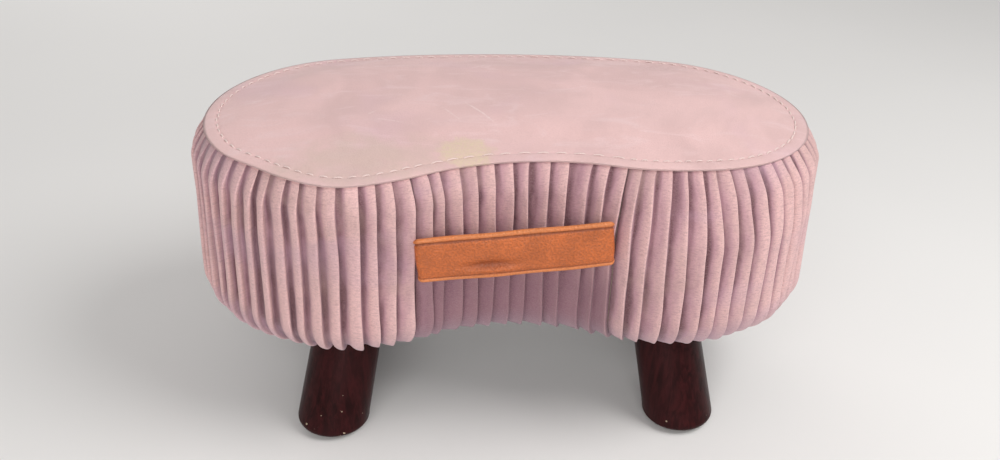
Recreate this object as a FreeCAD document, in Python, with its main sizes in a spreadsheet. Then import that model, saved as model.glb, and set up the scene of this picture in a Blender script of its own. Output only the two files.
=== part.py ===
import FreeCAD, Part
import math
import os
import Sketcher
from FreeCAD import Placement, Rotation, Vector

os.makedirs("parts", exist_ok=True)
doc = FreeCAD.newDocument("Footstool")

# Driving sizes in millimetres, degrees or counts
SIZES = [
    ("half_width", 222.0),
    ("lobe_rad", 113.0),
    ("back_rad", 740.0),
    ("notch_rad", 126.0),
    ("glide_thick", 3.0),
    ("glide_rad", 19.0),
    ("glide_pin_rad", 1.2),
    ("glide_pin_length", 12.0),
    ("leg_length", 79.0),
    ("leg_top_rad", 24.5),
    ("foot_rad", 26.0),
    ("foot_round", 4.0),
    ("foot_land", 1.0),
    ("leg_past_lobe", 5.0),
    ("leg_front_gap", 61.0),
    ("leg_back_gap", 57.0),
    ("splay_side", 14.0),
    ("splay_end", 20.0),
    ("bolt_rad", 3.95),
    ("bolt_wood_length", 34.0),
    ("bolt_point", 4.0),
    ("bolt_above_nut", 1.0),
    ("barrel_rad", 5.0),
    ("barrel_length", 10.0),
    ("flange_rad", 11.0),
    ("flange_thick", 1.5),
    ("prong_out", 8.5),
    ("prong_side", 1.6),
    ("prong_length", 6.0),
    ("turn_gap", 0.3),
    ("fit_gap", 0.05),
    ("soft_gap", 0.2),
    ("dust_thick", 0.8),
    ("dust_inset", 36.0),
    ("dust_hole_rad", 8.0),
    ("base_thick", 12.0),
    ("board_inset", 30.0),
    ("post_length", 72.0),
    ("post_side", 28.0),
    ("post_end_gap", 13.0),
    ("post_before_lobe", 41.0),
    ("post_back_gap", 10.5),
    ("post_front_gap", 24.0),
    ("seat_thick", 9.0),
    ("band_thick", 3.0),
    ("band_raise", 2.5),
    ("screw_rad", 2.0),
    ("screw_head_rad", 4.0),
    ("screw_length", 35.0),
    ("cloth_thick", 1.4),
    ("pleat_depth", 3.4),
    ("front_pleats", 12),
    ("wrap_pleats", 82),
    ("fold_share", 0.8),
    ("seam_way", 69.0),
    ("seam_gap", 0.4),
    ("seam_inset", 10.0),
    ("shoulder_drop", 20.0),
    ("under_rad", 28.0),
    ("hem_turn", 22.0),
    ("seat_foam_thick", 35.0),
    ("crown_inset", 84.0),
    ("crown_rise", 8.0),
    ("top_overlap", 0.6),
    ("stitch_inset", 22.0),
    ("stitch_count", 112),
    ("stitch_share", 0.68),
    ("stitch_rad", 0.4),
    ("staple_count", 28),
    ("staple_width", 10.0),
    ("staple_wire", 0.8),
    ("staple_leg", 7.0),
    ("staple_inset", 41.0),
    ("strap_height", 33.0),
    ("strap_skin", 1.6),
    ("strap_lining", 1.2),
    ("rim_rad", 1.7),
    ("strap_corner", 5.0),
    ("strap_stand", 2.6),
    ("strap_tab", 16.0),
    ("strap_rise", 80.5),
    ("strap_skew", 5.5),
    ("slit_gap", 0.4),
]

sheet = doc.addObject("Spreadsheet::Sheet", "Dim")
for row, (alias, number) in enumerate(SIZES, start=1):
    sheet.set("A%d" % row, alias)
    sheet.set("B%d" % row, str(number))
    sheet.setAlias("B%d" % row, alias)
doc.recompute()


# A size is a number together with the sheet formula that gives it
class Size:
    def __init__(self, number, text):
        self.number = float(number)
        self.text = text

    def __float__(self):
        return self.number

    def __int__(self):
        return int(round(self.number))

    def __add__(self, other):
        other = as_size(other)
        return Size(self.number + other.number, "(%s + %s)" % (self.text, other.text))

    def __sub__(self, other):
        other = as_size(other)
        return Size(self.number - other.number, "(%s - %s)" % (self.text, other.text))

    def __mul__(self, other):
        other = as_size(other)
        return Size(self.number * other.number, "(%s * %s)" % (self.text, other.text))

    def __truediv__(self, other):
        other = as_size(other)
        return Size(self.number / other.number, "(%s / %s)" % (self.text, other.text))

    def __neg__(self):
        return Size(-self.number, "(0 - %s)" % self.text)


def as_size(value):
    if isinstance(value, Size):
        return value
    return Size(value, repr(float(value)))


def size(alias):
    return Size(sheet.get(alias), "Dim.%s" % alias)


def root(value):
    return Size(math.sqrt(value.number), "sqrt(%s)" % value.text)


def bind(thing, path, value):
    thing.setExpression(path, as_size(value).text)


# Outline of the seat: two round lobes, a slow back arc and a hollow front arc
half_width = size("half_width")
lobe_rad = size("lobe_rad")
back_rad = size("back_rad")
notch_rad = size("notch_rad")
lobe_x = half_width - lobe_rad
back_y = root((back_rad - lobe_rad) * (back_rad - lobe_rad) - lobe_x * lobe_x)
notch_y = root((notch_rad + lobe_rad) * (notch_rad + lobe_rad) - lobe_x * lobe_x)
mid_y = (back_rad - back_y - lobe_rad) / 2
back_turn = math.atan2(float(back_y), float(lobe_x))
notch_turn = math.atan2(float(notch_y), float(lobe_x))
FRONT_WAY = float(notch_rad) * (math.pi / 2 - notch_turn)
LOBE_WAY = float(lobe_rad) * (back_turn - notch_turn + math.pi)
BACK_WAY = float(back_rad) * (math.pi - 2 * back_turn)
ROUND_WAY = 2 * FRONT_WAY + 2 * LOBE_WAY + BACK_WAY


# A point on the outline, drawn in by an inset, at a way from the middle of the front
def on_outline(way, inset):
    way = way % ROUND_WAY
    lobe_in = float(lobe_rad) - inset
    back_in = float(back_rad) - inset
    notch_in = float(notch_rad) + inset
    if way > ROUND_WAY - FRONT_WAY:
        way = way - ROUND_WAY
    if way <= FRONT_WAY:
        turn = math.pi / 2 - way / float(notch_rad)
        return notch_in * math.cos(turn), notch_in * math.sin(turn) - float(notch_y)
    way = way - FRONT_WAY
    if way <= LOBE_WAY:
        turn = notch_turn - math.pi + way / float(lobe_rad)
        return float(lobe_x) + lobe_in * math.cos(turn), lobe_in * math.sin(turn)
    way = way - LOBE_WAY
    if way <= BACK_WAY:
        turn = back_turn + way / float(back_rad)
        return back_in * math.cos(turn), back_in * math.sin(turn) - float(back_y)
    way = way - BACK_WAY
    turn = math.pi - back_turn + way / float(lobe_rad)
    return -float(lobe_x) + lobe_in * math.cos(turn), lobe_in * math.sin(turn)


def point(way, inset, height):
    x, y = on_outline(way, inset)
    return Vector(x, y, height)


# The ways at which one arc of the outline hands over to the next, lobes halved
JOINS = [
    -FRONT_WAY,
    FRONT_WAY,
    FRONT_WAY + LOBE_WAY / 2,
    FRONT_WAY + LOBE_WAY,
    FRONT_WAY + LOBE_WAY + BACK_WAY,
    FRONT_WAY + 1.5 * LOBE_WAY + BACK_WAY,
    ROUND_WAY - FRONT_WAY,
]


def arcs(start, end, inset, height):
    ways = [start] + [way for way in JOINS if start < way < end] + [end]
    found = []
    for first, last in zip(ways, ways[1:]):
        middle = (first + last) / 2
        arc = Part.Arc(point(first, inset, height), point(middle, inset, height), point(last, inset, height))
        found.append(arc.toShape())
    return found


def outline_wire(inset, height):
    return Part.Wire(arcs(-FRONT_WAY, ROUND_WAY - FRONT_WAY, inset, height))


def stacked(levels):
    return Part.makeLoft([outline_wire(inset, height) for inset, height in levels], True, True)


# Heights, stacked up from the floor
glide_thick = size("glide_thick")
leg_length = size("leg_length")
cloth_thick = size("cloth_thick")
base_thick = size("base_thick")
post_length = size("post_length")
seat_thick = size("seat_thick")
soft_gap = size("soft_gap")
fit_gap = size("fit_gap")
leg_top_z = glide_thick + leg_length
dust_z = leg_top_z + size("turn_gap")
hem_z = dust_z + size("dust_thick")
base_z = hem_z + cloth_thick
post_z = base_z + base_thick
seat_z = post_z + post_length
seat_top_z = seat_z + seat_thick
seam_z = seat_top_z + size("seat_foam_thick")


# Sketch helpers
def new_body(label):
    body = doc.addObject("PartDesign::Body", "body_" + label)
    body.Label = label
    return body


def plane(body, role):
    for feature in body.Origin.OriginFeatures:
        if feature.Role == role:
            return feature
    raise ValueError("no plane " + role)


def new_sketch(body, name, role="XY_Plane", lift=None):
    sketch = body.newObject("Sketcher::SketchObject", name)
    sketch.AttachmentSupport = (plane(body, role), [""])
    sketch.MapMode = "FlatFace"
    if lift is not None:
        sketch.AttachmentOffset = Placement(Vector(0, 0, float(lift)), Rotation())
        bind(sketch, "AttachmentOffset.Base.z", lift)
    return sketch


def fix(sketch, constraint, value):
    number = sketch.addConstraint(constraint)
    sketch.setExpression("Constraints[%d]" % number, as_size(value).text)


def pin_point(sketch, item, end, x, y):
    fix(sketch, Sketcher.Constraint("DistanceX", -1, 1, item, end, float(x)), x)
    fix(sketch, Sketcher.Constraint("DistanceY", -1, 1, item, end, float(y)), y)


def draw_polygon(sketch, corners):
    points = [Vector(float(x), float(y), 0) for x, y in corners]
    items = []
    for first, last in zip(points, points[1:] + points[:1]):
        items.append(sketch.addGeometry(Part.LineSegment(first, last), False))
    for first, last in zip(items, items[1:] + items[:1]):
        sketch.addConstraint(Sketcher.Constraint("Coincident", first, 2, last, 1))
    for item, (x, y) in zip(items, corners):
        pin_point(sketch, item, 1, x, y)


def draw_circle(sketch, x, y, radius):
    centre = Vector(float(x), float(y), 0)
    item = sketch.addGeometry(Part.Circle(centre, Vector(0, 0, 1), float(radius)), False)
    pin_point(sketch, item, 3, x, y)
    fix(sketch, Sketcher.Constraint("Radius", item, float(radius)), radius)


def draw_outline(sketch, inset):
    lobe_in = lobe_rad - inset
    back_in = back_rad - inset
    notch_in = notch_rad + inset
    up = Vector(0, 0, 1)
    lobe_at = Vector(float(lobe_x), 0, 0)
    back_at = Vector(0, -float(back_y), 0)
    notch_at = Vector(0, -float(notch_y), 0)
    spans = [
        (lobe_at, lobe_in, notch_turn - math.pi, back_turn),
        (back_at, back_in, back_turn, math.pi - back_turn),
        (-lobe_at, lobe_in, math.pi - back_turn, 2 * math.pi - notch_turn),
        (notch_at, notch_in, notch_turn, math.pi - notch_turn),
    ]
    items = []
    for centre, radius, start, end in spans:
        circle = Part.Circle(centre, up, float(radius))
        items.append(sketch.addGeometry(Part.ArcOfCircle(circle, start, end), False))
    right, back, left, front = items
    sketch.addConstraint(Sketcher.Constraint("Tangent", right, 2, back, 1))
    sketch.addConstraint(Sketcher.Constraint("Tangent", back, 2, left, 1))
    sketch.addConstraint(Sketcher.Constraint("Tangent", left, 2, front, 2))
    sketch.addConstraint(Sketcher.Constraint("Tangent", front, 1, right, 1))
    pin_point(sketch, right, 3, lobe_x, 0)
    pin_point(sketch, left, 3, -lobe_x, 0)
    fix(sketch, Sketcher.Constraint("Radius", right, float(lobe_in)), lobe_in)
    fix(sketch, Sketcher.Constraint("Radius", left, float(lobe_in)), lobe_in)
    fix(sketch, Sketcher.Constraint("Radius", back, float(back_in)), back_in)
    fix(sketch, Sketcher.Constraint("Radius", front, float(notch_in)), notch_in)


def add_pad(body, sketch, length):
    pad = body.newObject("PartDesign::Pad", sketch.Name + "_pad")
    pad.Profile = sketch
    pad.Length = float(length)
    bind(pad, "Length", length)
    sketch.Visibility = False
    return pad


def add_spin(body, sketch):
    spin = body.newObject("PartDesign::Revolution", sketch.Name + "_spin")
    spin.Profile = sketch
    spin.ReferenceAxis = (sketch, ["V_Axis"])
    spin.Angle = 360
    return spin


def place(thing, x, y, z):
    for axis, value in zip("xyz", (x, y, z)):
        bind(thing, "Placement.Base." + axis, value)


def shaped(label, shape):
    thing = doc.addObject("Part::Feature", label)
    thing.Label = label
    thing.Shape = shape
    thing.Placement = Placement(Vector(0, -float(mid_y), 0), Rotation())
    return thing


def cut_away(label, base, tools):
    bundle = doc.addObject("Part::Compound", label + "_tools")
    bundle.Links = tools
    cut = doc.addObject("Part::Cut", "cut_" + label)
    cut.Base = base
    cut.Tool = bundle
    cut.Label = label
    return cut


def add_cylinder(name, radius, height, x, y, z):
    thing = doc.addObject("Part::Cylinder", name)
    bind(thing, "Radius", radius)
    bind(thing, "Height", height)
    place(thing, x, y, z)
    return thing


def add_cone(name, low, high, height, x, y, z):
    thing = doc.addObject("Part::Cone", name)
    bind(thing, "Radius1", low)
    bind(thing, "Radius2", high)
    bind(thing, "Height", height)
    place(thing, x, y, z)
    return thing


nodes = []

# Where the legs and the frame posts stand, measured in from the outline
leg_out = lobe_x + size("leg_past_lobe")
leg_front = lobe_rad - size("leg_front_gap")
leg_back = lobe_rad - size("leg_back_gap")
board_inset = size("board_inset")
post_side = size("post_side")
post_inset = board_inset + post_side / 2
post_end_out = half_width - post_inset - size("post_end_gap")
post_near_out = lobe_x - size("post_before_lobe")
post_front = lobe_rad - post_inset - size("post_front_gap")
post_back = back_rad - back_y - post_inset - size("post_back_gap")
LEGS = [
    ("front_left", -1, -1, leg_front),
    ("front_right", 1, -1, leg_front),
    ("back_left", -1, 1, leg_back),
    ("back_right", 1, 1, leg_back),
]
POSTS = [
    ("end_left", -post_end_out, as_size(0)),
    ("end_right", post_end_out, as_size(0)),
    ("front_left", -post_near_out, -post_front),
    ("front_right", post_near_out, -post_front),
    ("back_left", -post_near_out, post_back),
    ("back_right", post_near_out, post_back),
]

# Staples, spread round the underside and kept off the leg tops
staple_wire = size("staple_wire")
staple_width = size("staple_width")
staple_leg = size("staple_leg")
leg_top_rad = size("leg_top_rad")


def staple_places():
    found = []
    count = int(size("staple_count"))
    clear = float(leg_top_rad) + float(staple_width) / 2 + 1
    for number in range(count):
        way = (number + 0.5) * ROUND_WAY / count
        x, y = on_outline(way, float(size("staple_inset")))
        next_x, next_y = on_outline(way + 1, float(size("staple_inset")))
        near = []
        for name, side, end, deep in LEGS:
            near.append(math.hypot(x - side * float(leg_out), y - end * float(deep)))
        if min(near) > clear:
            turn = math.degrees(math.atan2(next_y - y, next_x - x))
            found.append(Placement(Vector(x, y, 0), Rotation(Vector(0, 0, 1), turn)))
    return found


def staple_prongs(low, high):
    wire = float(staple_wire)
    prongs = []
    for spot in staple_places():
        for side in (-1, 1):
            corner = Vector(side * (float(staple_width) - wire) / 2 - wire / 2, -wire / 2, low)
            prong = Part.makeBox(wire, wire, high - low, corner)
            prong.Placement = spot
            prongs.append(prong)
    return prongs


def staple_solids():
    wire = float(staple_wire)
    low = float(dust_z) - wire
    solids = []
    for spot in staple_places():
        crown_corner = Vector(-float(staple_width) / 2, -wire / 2, low)
        solid = Part.makeBox(float(staple_width), wire, wire, crown_corner)
        for side in (-1, 1):
            corner = Vector(side * (float(staple_width) - wire) / 2 - wire / 2, -wire / 2, low)
            solid = solid.fuse(Part.makeBox(wire, wire, float(staple_leg), corner))
        solid = solid.removeSplitter()
        solid.Placement = spot
        solids.append(solid)
    return solids


nodes.append(shaped("staples", Part.makeCompound(staple_solids())))
STAPLE_TOP = float(dust_z) - float(staple_wire) + float(staple_leg)


def staple_slots(name, floor_z):
    thing = doc.addObject("Part::Feature", name)
    thing.Shape = Part.makeCompound(staple_prongs(float(dust_z) - 1, STAPLE_TOP))
    thing.Placement = Placement(Vector(0, 0, -float(floor_z)), Rotation())
    return thing


# Plywood boards
screw_rad = size("screw_rad")
screw_head_rad = size("screw_head_rad")
screw_length = size("screw_length")
head_height = screw_head_rad - screw_rad
barrel_rad = size("barrel_rad")
prong_side = size("prong_side")
prong_length = size("prong_length")
prong_out = size("prong_out")

base_panel = new_body("base_panel")
base_sketch = new_sketch(base_panel, "base_outline")
draw_outline(base_sketch, board_inset)
add_pad(base_panel, base_sketch, base_thick)
base_tools = [staple_slots("base_staple_slots", base_z)]
for name, side, end, deep in LEGS:
    x = leg_out * side
    y = deep * end
    base_tools.append(add_cylinder("barrel_bore_" + name, barrel_rad + fit_gap, base_thick, x, y, 0))
    for number, (across, along) in enumerate([(1, 0), (0, 1), (-1, 0), (0, -1)]):
        slot = doc.addObject("Part::Box", "prong_slot_%s_%d" % (name, number))
        bind(slot, "Length", prong_side)
        bind(slot, "Width", prong_side)
        bind(slot, "Height", prong_length)
        slot_x = x + prong_out * across - prong_side / 2
        slot_y = y + prong_out * along - prong_side / 2
        place(slot, slot_x, slot_y, base_thick - prong_length)
        base_tools.append(slot)
for name, x, y in POSTS:
    base_tools.append(add_cylinder("base_bore_" + name, screw_rad + fit_gap, base_thick, x, y, 0))
    base_tools.append(
        add_cone("base_sink_" + name, screw_head_rad + fit_gap, screw_rad + fit_gap, head_height, x, y, 0)
    )
base_board = cut_away("base_board", base_panel, base_tools)
place(base_board, 0, -mid_y, base_z)
nodes.append(base_board)

seat_panel = new_body("seat_panel")
seat_sketch = new_sketch(seat_panel, "seat_outline")
draw_outline(seat_sketch, board_inset)
add_pad(seat_panel, seat_sketch, seat_thick)
seat_tools = []
for name, x, y in POSTS:
    seat_tools.append(add_cylinder("seat_bore_" + name, screw_rad + fit_gap, seat_thick, x, y, 0))
    sink_z = seat_thick - head_height
    sink = add_cone("seat_sink_" + name, screw_rad, screw_head_rad, head_height, x, y, sink_z)
    bind(sink, "Radius1", screw_rad + fit_gap)
    bind(sink, "Radius2", screw_head_rad + fit_gap)
    seat_tools.append(sink)
seat_board = cut_away("seat_board", seat_panel, seat_tools)
place(seat_board, 0, -mid_y, seat_z)
nodes.append(seat_board)

# Posts between the boards, drilled for the screws
for name, x, y in POSTS:
    block = doc.addObject("Part::Box", "block_" + name)
    bind(block, "Length", post_side)
    bind(block, "Width", post_side)
    bind(block, "Height", post_length)
    place(block, -post_side / 2, -post_side / 2, 0)
    bore = add_cylinder("post_bore_" + name, screw_rad + fit_gap, post_length, 0, 0, 0)
    post = cut_away("post_" + name, block, [bore])
    place(post, x, y - mid_y, post_z)
    nodes.append(post)


# Countersunk screws, through the boards into the posts
def add_screws(label, turned_over):
    screws = []
    for name, x, y in POSTS:
        shank = add_cylinder(label + "_shank_" + name, screw_rad, screw_length, 0, 0, -screw_length)
        head = add_cone(label + "_head_" + name, screw_rad, screw_head_rad, head_height, 0, 0, -head_height)
        screw = doc.addObject("Part::Fuse", label + "_" + name)
        screw.Base = shank
        screw.Tool = head
        if turned_over:
            screw.Placement = Placement(Vector(0, 0, 0), Rotation(Vector(1, 0, 0), 180))
        place(screw, x, y, 0)
        screws.append(screw)
    group = doc.addObject("Part::Compound", "group_" + label)
    group.Links = screws
    group.Label = label
    return group


seat_screws = add_screws("seat_screws", False)
place(seat_screws, 0, -mid_y, seat_top_z)
nodes.append(seat_screws)
base_screws = add_screws("base_screws", True)
place(base_screws, 0, -mid_y, base_z)
nodes.append(base_screws)

# Hardboard band round the frame
band_thick = size("band_thick")
band_raise = size("band_raise")
band_inset = board_inset - fit_gap
side_band = new_body("side_band")
band_sketch = new_sketch(side_band, "band_outline")
draw_outline(band_sketch, band_inset - band_thick)
add_pad(side_band, band_sketch, seat_top_z - base_z - band_raise)
hollow_sketch = new_sketch(side_band, "band_hollow")
draw_outline(hollow_sketch, band_inset)
hollow = side_band.newObject("PartDesign::Pocket", "band_pocket")
hollow.Profile = hollow_sketch
hollow.Type = "ThroughAll"
hollow.Midplane = True
hollow_sketch.Visibility = False
place(side_band, 0, -mid_y, base_z + band_raise)
nodes.append(side_band)

# Black cloth under the seat
dust_cover = new_body("dust_cover")
dust_sketch = new_sketch(dust_cover, "dust_outline")
draw_outline(dust_sketch, size("dust_inset"))
for name, side, end, deep in LEGS:
    draw_circle(dust_sketch, leg_out * side, deep * end, size("dust_hole_rad"))
add_pad(dust_cover, dust_sketch, size("dust_thick"))
dust_sheet = cut_away("dust_cover_sheet", dust_cover, [staple_slots("dust_staple_slots", dust_z)])
dust_cover.Label = "dust_cover_plain"
dust_sheet.Label = "dust_cover"
place(dust_sheet, 0, -mid_y, dust_z)
nodes.append(dust_sheet)

# Carrying strap: a bar across the hollow front whose ends turn back into the side seams
seam_way = float(size("seam_way"))
seam_x, seam_y = on_outline(seam_way, 0)
strap_tab = size("strap_tab")
strap_corner = size("strap_corner")
strap_skin = size("strap_skin")
strap_lining = size("strap_lining")
strap_thick = strap_skin + strap_lining
strap_height = size("strap_height")
rim_rad = size("rim_rad")
web_height = strap_height - rim_rad * 4
strap_place = Placement(
    Vector(0, seam_y - float(size("strap_stand")) + float(strap_tab), float(base_z + size("strap_rise"))),
    Rotation(Vector(0, 1, 0), -float(size("strap_skew"))),
)


def strap_path(body):
    sketch = new_sketch(body, body.Label + "_path")
    out = seam_x
    deep = float(strap_tab)
    bend = float(strap_corner)
    left_low = Vector(-out, -deep + bend, 0)
    left_in = Vector(-out + bend, -deep, 0)
    right_in = Vector(out - bend, -deep, 0)
    right_low = Vector(out, -deep + bend, 0)
    up = Vector(0, 0, 1)
    left_circle = Part.Circle(Vector(-out + bend, -deep + bend, 0), up, bend)
    right_circle = Part.Circle(Vector(out - bend, -deep + bend, 0), up, bend)
    tab_left = sketch.addGeometry(Part.LineSegment(Vector(-out, 0, 0), left_low), False)
    turn_left = sketch.addGeometry(Part.ArcOfCircle(left_circle, math.pi, 1.5 * math.pi), False)
    bar = sketch.addGeometry(Part.LineSegment(left_in, right_in), False)
    turn_right = sketch.addGeometry(Part.ArcOfCircle(right_circle, 1.5 * math.pi, 2 * math.pi), False)
    tab_right = sketch.addGeometry(Part.LineSegment(right_low, Vector(out, 0, 0)), False)
    for first, first_end, last, last_end in [
        (tab_left, 2, turn_left, 1),
        (turn_left, 2, bar, 1),
        (bar, 2, turn_right, 1),
        (turn_right, 2, tab_right, 1),
    ]:
        sketch.addConstraint(Sketcher.Constraint("Tangent", first, first_end, last, last_end))
    pin_point(sketch, tab_left, 1, -seam_x, 0)
    pin_point(sketch, tab_right, 2, seam_x, 0)
    sketch.addConstraint(Sketcher.Constraint("Vertical", tab_left))
    sketch.addConstraint(Sketcher.Constraint("Vertical", tab_right))
    fix(sketch, Sketcher.Constraint("DistanceY", -1, 1, bar, 1, -deep), -strap_tab)
    fix(sketch, Sketcher.Constraint("Radius", turn_left, bend), strap_corner)
    fix(sketch, Sketcher.Constraint("Radius", turn_right, bend), strap_corner)
    return sketch


def strap_piece(label, draw):
    body = new_body(label)
    path = strap_path(body)
    section = new_sketch(body, label + "_section", "XZ_Plane")
    draw(section)
    doc.recompute()
    pipe = body.newObject("PartDesign::AdditivePipe", label + "_pipe")
    pipe.Profile = section
    pipe.Spine = (path, ["Edge%d" % number for number in range(1, 6)])
    path.Visibility = False
    shift = Placement(Vector(0, -float(mid_y), 0), Rotation())
    body.Placement = shift.multiply(strap_place)
    return body


def web_section(low, high):
    half = web_height / 2
    corners = [(low, -half), (high, -half), (high, half), (low, half)]
    return lambda sketch: draw_polygon(sketch, corners)


def rim_section(side):
    rim_z = (web_height / 2 + rim_rad + fit_gap) * side
    return lambda sketch: draw_circle(sketch, as_size(-seam_x), rim_z, rim_rad)


outer_x = as_size(-seam_x) - strap_thick / 2
split_x = outer_x + strap_skin
inner_x = split_x + strap_lining
nodes.append(strap_piece("strap_face", web_section(outer_x, split_x)))
nodes.append(strap_piece("strap_lining", web_section(split_x, inner_x)))
nodes.append(strap_piece("strap_rim_upper", rim_section(1)))
nodes.append(strap_piece("strap_rim_lower", rim_section(-1)))


# Slits that the strap ends run in
def strap_slits():
    gap = float(size("slit_gap"))
    wide = 2 * max(float(rim_rad), float(strap_thick) / 2) + 2 * gap
    tall = float(strap_height) + 2 * gap + 4 * float(fit_gap)
    deep = float(strap_tab) + gap + float(strap_corner) + float(size("strap_stand"))
    slits = []
    for side in (-1, 1):
        corner = Vector(side * seam_x - wide / 2, gap - deep, -tall / 2)
        slit = Part.makeBox(wide, deep, tall, corner)
        slit.Placement = strap_place.multiply(slit.Placement)
        slits.append(slit)
    return slits


# Padding: a side wrap with a rolled lower edge and a crowned seat pad
cover_in = float(size("pleat_depth")) + float(cloth_thick)
soft = float(soft_gap)
under_rad = float(size("under_rad"))
under_z = float(base_z) + under_rad - cover_in
seam_inset = float(size("seam_inset"))
shoulder_drop = float(size("shoulder_drop"))


def under_level(depth, turn_degrees):
    turn = math.radians(turn_degrees)
    reach = under_rad - depth
    return under_rad - reach * math.cos(turn), under_z - reach * math.sin(turn)


def shoulder_level(depth, share):
    turn = share * math.pi / 2
    inset = seam_inset * (1 - math.sin(turn)) + depth * math.sin(turn)
    height = float(seam_z) - shoulder_drop * share - depth * math.cos(turn)
    return inset, height


side_depth = cover_in + soft
UNDER_TURNS = (0, 30, 60, 90)
wrap_levels = [under_level(side_depth, turn) for turn in reversed(UNDER_TURNS[:-1])]
wrap_levels.append((side_depth, float(seat_top_z) - soft))
wrap_hollow_inset = float(band_inset - band_thick) - soft
wrap_hollow = Part.Face(outline_wire(wrap_hollow_inset, 0)).extrude(Vector(0, 0, float(seam_z)))
side_foam = stacked(wrap_levels).cut(Part.makeCompound([wrap_hollow] + strap_slits()))
nodes.append(shaped("side_foam", side_foam))

crown_inset = float(size("crown_inset"))
crown_rise = float(size("crown_rise"))
top_edge_inset = seam_inset - float(size("top_overlap"))
stitch_inset = float(size("stitch_inset"))


# The crown rises from the seam along a half parabola, level in the middle
def crown_at(inset):
    share = (inset - top_edge_inset) / (crown_inset - top_edge_inset)
    return crown_rise * (1 - (1 - share) ** 2)


crown_steps = [top_edge_inset, stitch_inset]
for number in (1, 2, 3):
    crown_steps.append(stitch_inset + (crown_inset - stitch_inset) * number / 3)
cloth_low = float(seam_z) + soft
pad_levels = [
    (side_depth, float(seat_top_z)),
    shoulder_level(side_depth, 1.0),
    shoulder_level(side_depth, 0.5),
    (seam_inset + side_depth, float(seam_z) - soft),
]
for inset in crown_steps[1:]:
    pad_levels.append((inset, cloth_low - soft + crown_at(inset)))
seat_foam = stacked(pad_levels).cut(Part.makeCompound(strap_slits()))
nodes.append(shaped("seat_foam", seat_foam))

# Top panel of velvet over the crown
cloth = float(cloth_thick)
upper_levels = [(top_edge_inset, cloth_low)]
lower_levels = [(top_edge_inset, cloth_low - cloth)]
for inset in crown_steps:
    upper_levels.append((inset, cloth_low + cloth + crown_at(inset)))
    lower_levels.append((inset, cloth_low + crown_at(inset)))
top_cover = stacked(upper_levels).cut(stacked(lower_levels))
nodes.append(shaped("top_cover", top_cover))


# Line of pale stitches round the top panel
def stitch_solids():
    count = int(size("stitch_count"))
    share = float(size("stitch_share"))
    radius = float(size("stitch_rad"))
    height = cloth_low + cloth + crown_at(stitch_inset) + radius + soft
    solids = []
    for number in range(count):
        start = point(ROUND_WAY * number / count, stitch_inset, height)
        end = point(ROUND_WAY * (number + share) / count, stitch_inset, height)
        along = end - start
        solids.append(Part.makeCylinder(radius, along.Length, start, along))
    return solids


nodes.append(shaped("top_stitching", Part.makeCompound(stitch_solids())))

# Pleated side panels: knife pleats that fade out at the seam and under the hem
pleat_depth = float(size("pleat_depth"))
hem_end = under_rad + float(size("hem_turn"))
fold_share = float(size("fold_share"))
outer_levels = [(shoulder_level(0, 0), shoulder_level(0, 0))]
for share in (0.35, 0.7, 1.0):
    outer_levels.append((shoulder_level(0, share), shoulder_level(pleat_depth * share, share)))
for turn_degrees in UNDER_TURNS:
    outer_levels.append((under_level(0, turn_degrees), under_level(pleat_depth, turn_degrees)))
hem_edge = (under_rad + pleat_depth, float(hem_z))
outer_levels.append((hem_edge, hem_edge))
inner_levels = [
    (seam_inset + cover_in, float(seam_z)),
    shoulder_level(cover_in, 0.5),
    shoulder_level(cover_in, 1.0),
]
for turn_degrees in UNDER_TURNS:
    inner_levels.append(under_level(cover_in, turn_degrees))
inner_levels.append((hem_end, float(base_z)))
inner_levels.append((hem_end, float(hem_z)))


def segment(first, last):
    return Part.LineSegment(first, last).toShape()


def pleated_panel(start, end, count):
    pitch = (end - start) / count
    spots = []
    for number in range(count):
        spots.append((start + pitch * number, 1))
        spots.append((start + pitch * (number + fold_share), 0))
    spots.append((end, 1))
    rows = []
    for level in outer_levels:
        rows.append([point(way, level[low][0], level[low][1]) for way, low in spots])
    faces = []
    for upper, lower in zip(rows, rows[1:]):
        for number in range(len(spots) - 1):
            first = segment(upper[number], upper[number + 1])
            last = segment(lower[number], lower[number + 1])
            faces.append(Part.makeRuledSurface(first, last))
    rings = [arcs(start, end, inset, height) for inset, height in inner_levels]
    for upper, lower in zip(rings, rings[1:]):
        for first, last in zip(upper, lower):
            faces.append(Part.makeRuledSurface(first, last))
    for row, ring, level in [(rows[0], rings[0], inner_levels[0]), (rows[-1], rings[-1], inner_levels[-1])]:
        edges = [segment(first, last) for first, last in zip(row, row[1:])]
        edges.append(segment(row[-1], point(end, *level)))
        edges.append(segment(point(start, *level), row[0]))
        faces.append(Part.Face(Part.Wire(Part.sortEdges(edges + ring)[0])))
    for way, column in [(start, 0), (end, -1)]:
        corners = [row[column] for row in rows]
        corners += [point(way, inset, height) for inset, height in reversed(inner_levels)]
        faces.append(Part.Face(Part.makePolygon(corners + corners[:1])))
    shell = Part.Shell(faces)
    shell.sewShape()
    solid = Part.Solid(shell)
    if solid.Volume < 0:
        solid.reverse()
    return solid


seam_half = float(size("seam_gap")) / 2
slits = Part.makeCompound(strap_slits())
slots = Part.makeCompound(staple_prongs(float(hem_z) - 1, STAPLE_TOP))
front_panel = pleated_panel(-seam_way + seam_half, seam_way - seam_half, int(size("front_pleats")))
wrap_panel = pleated_panel(seam_way + seam_half, ROUND_WAY - seam_way - seam_half, int(size("wrap_pleats")))
nodes.append(shaped("side_pleats_front", front_panel.cut(slits).cut(slots)))
nodes.append(shaped("side_pleats_wrap", wrap_panel.cut(slits).cut(slots)))

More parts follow.
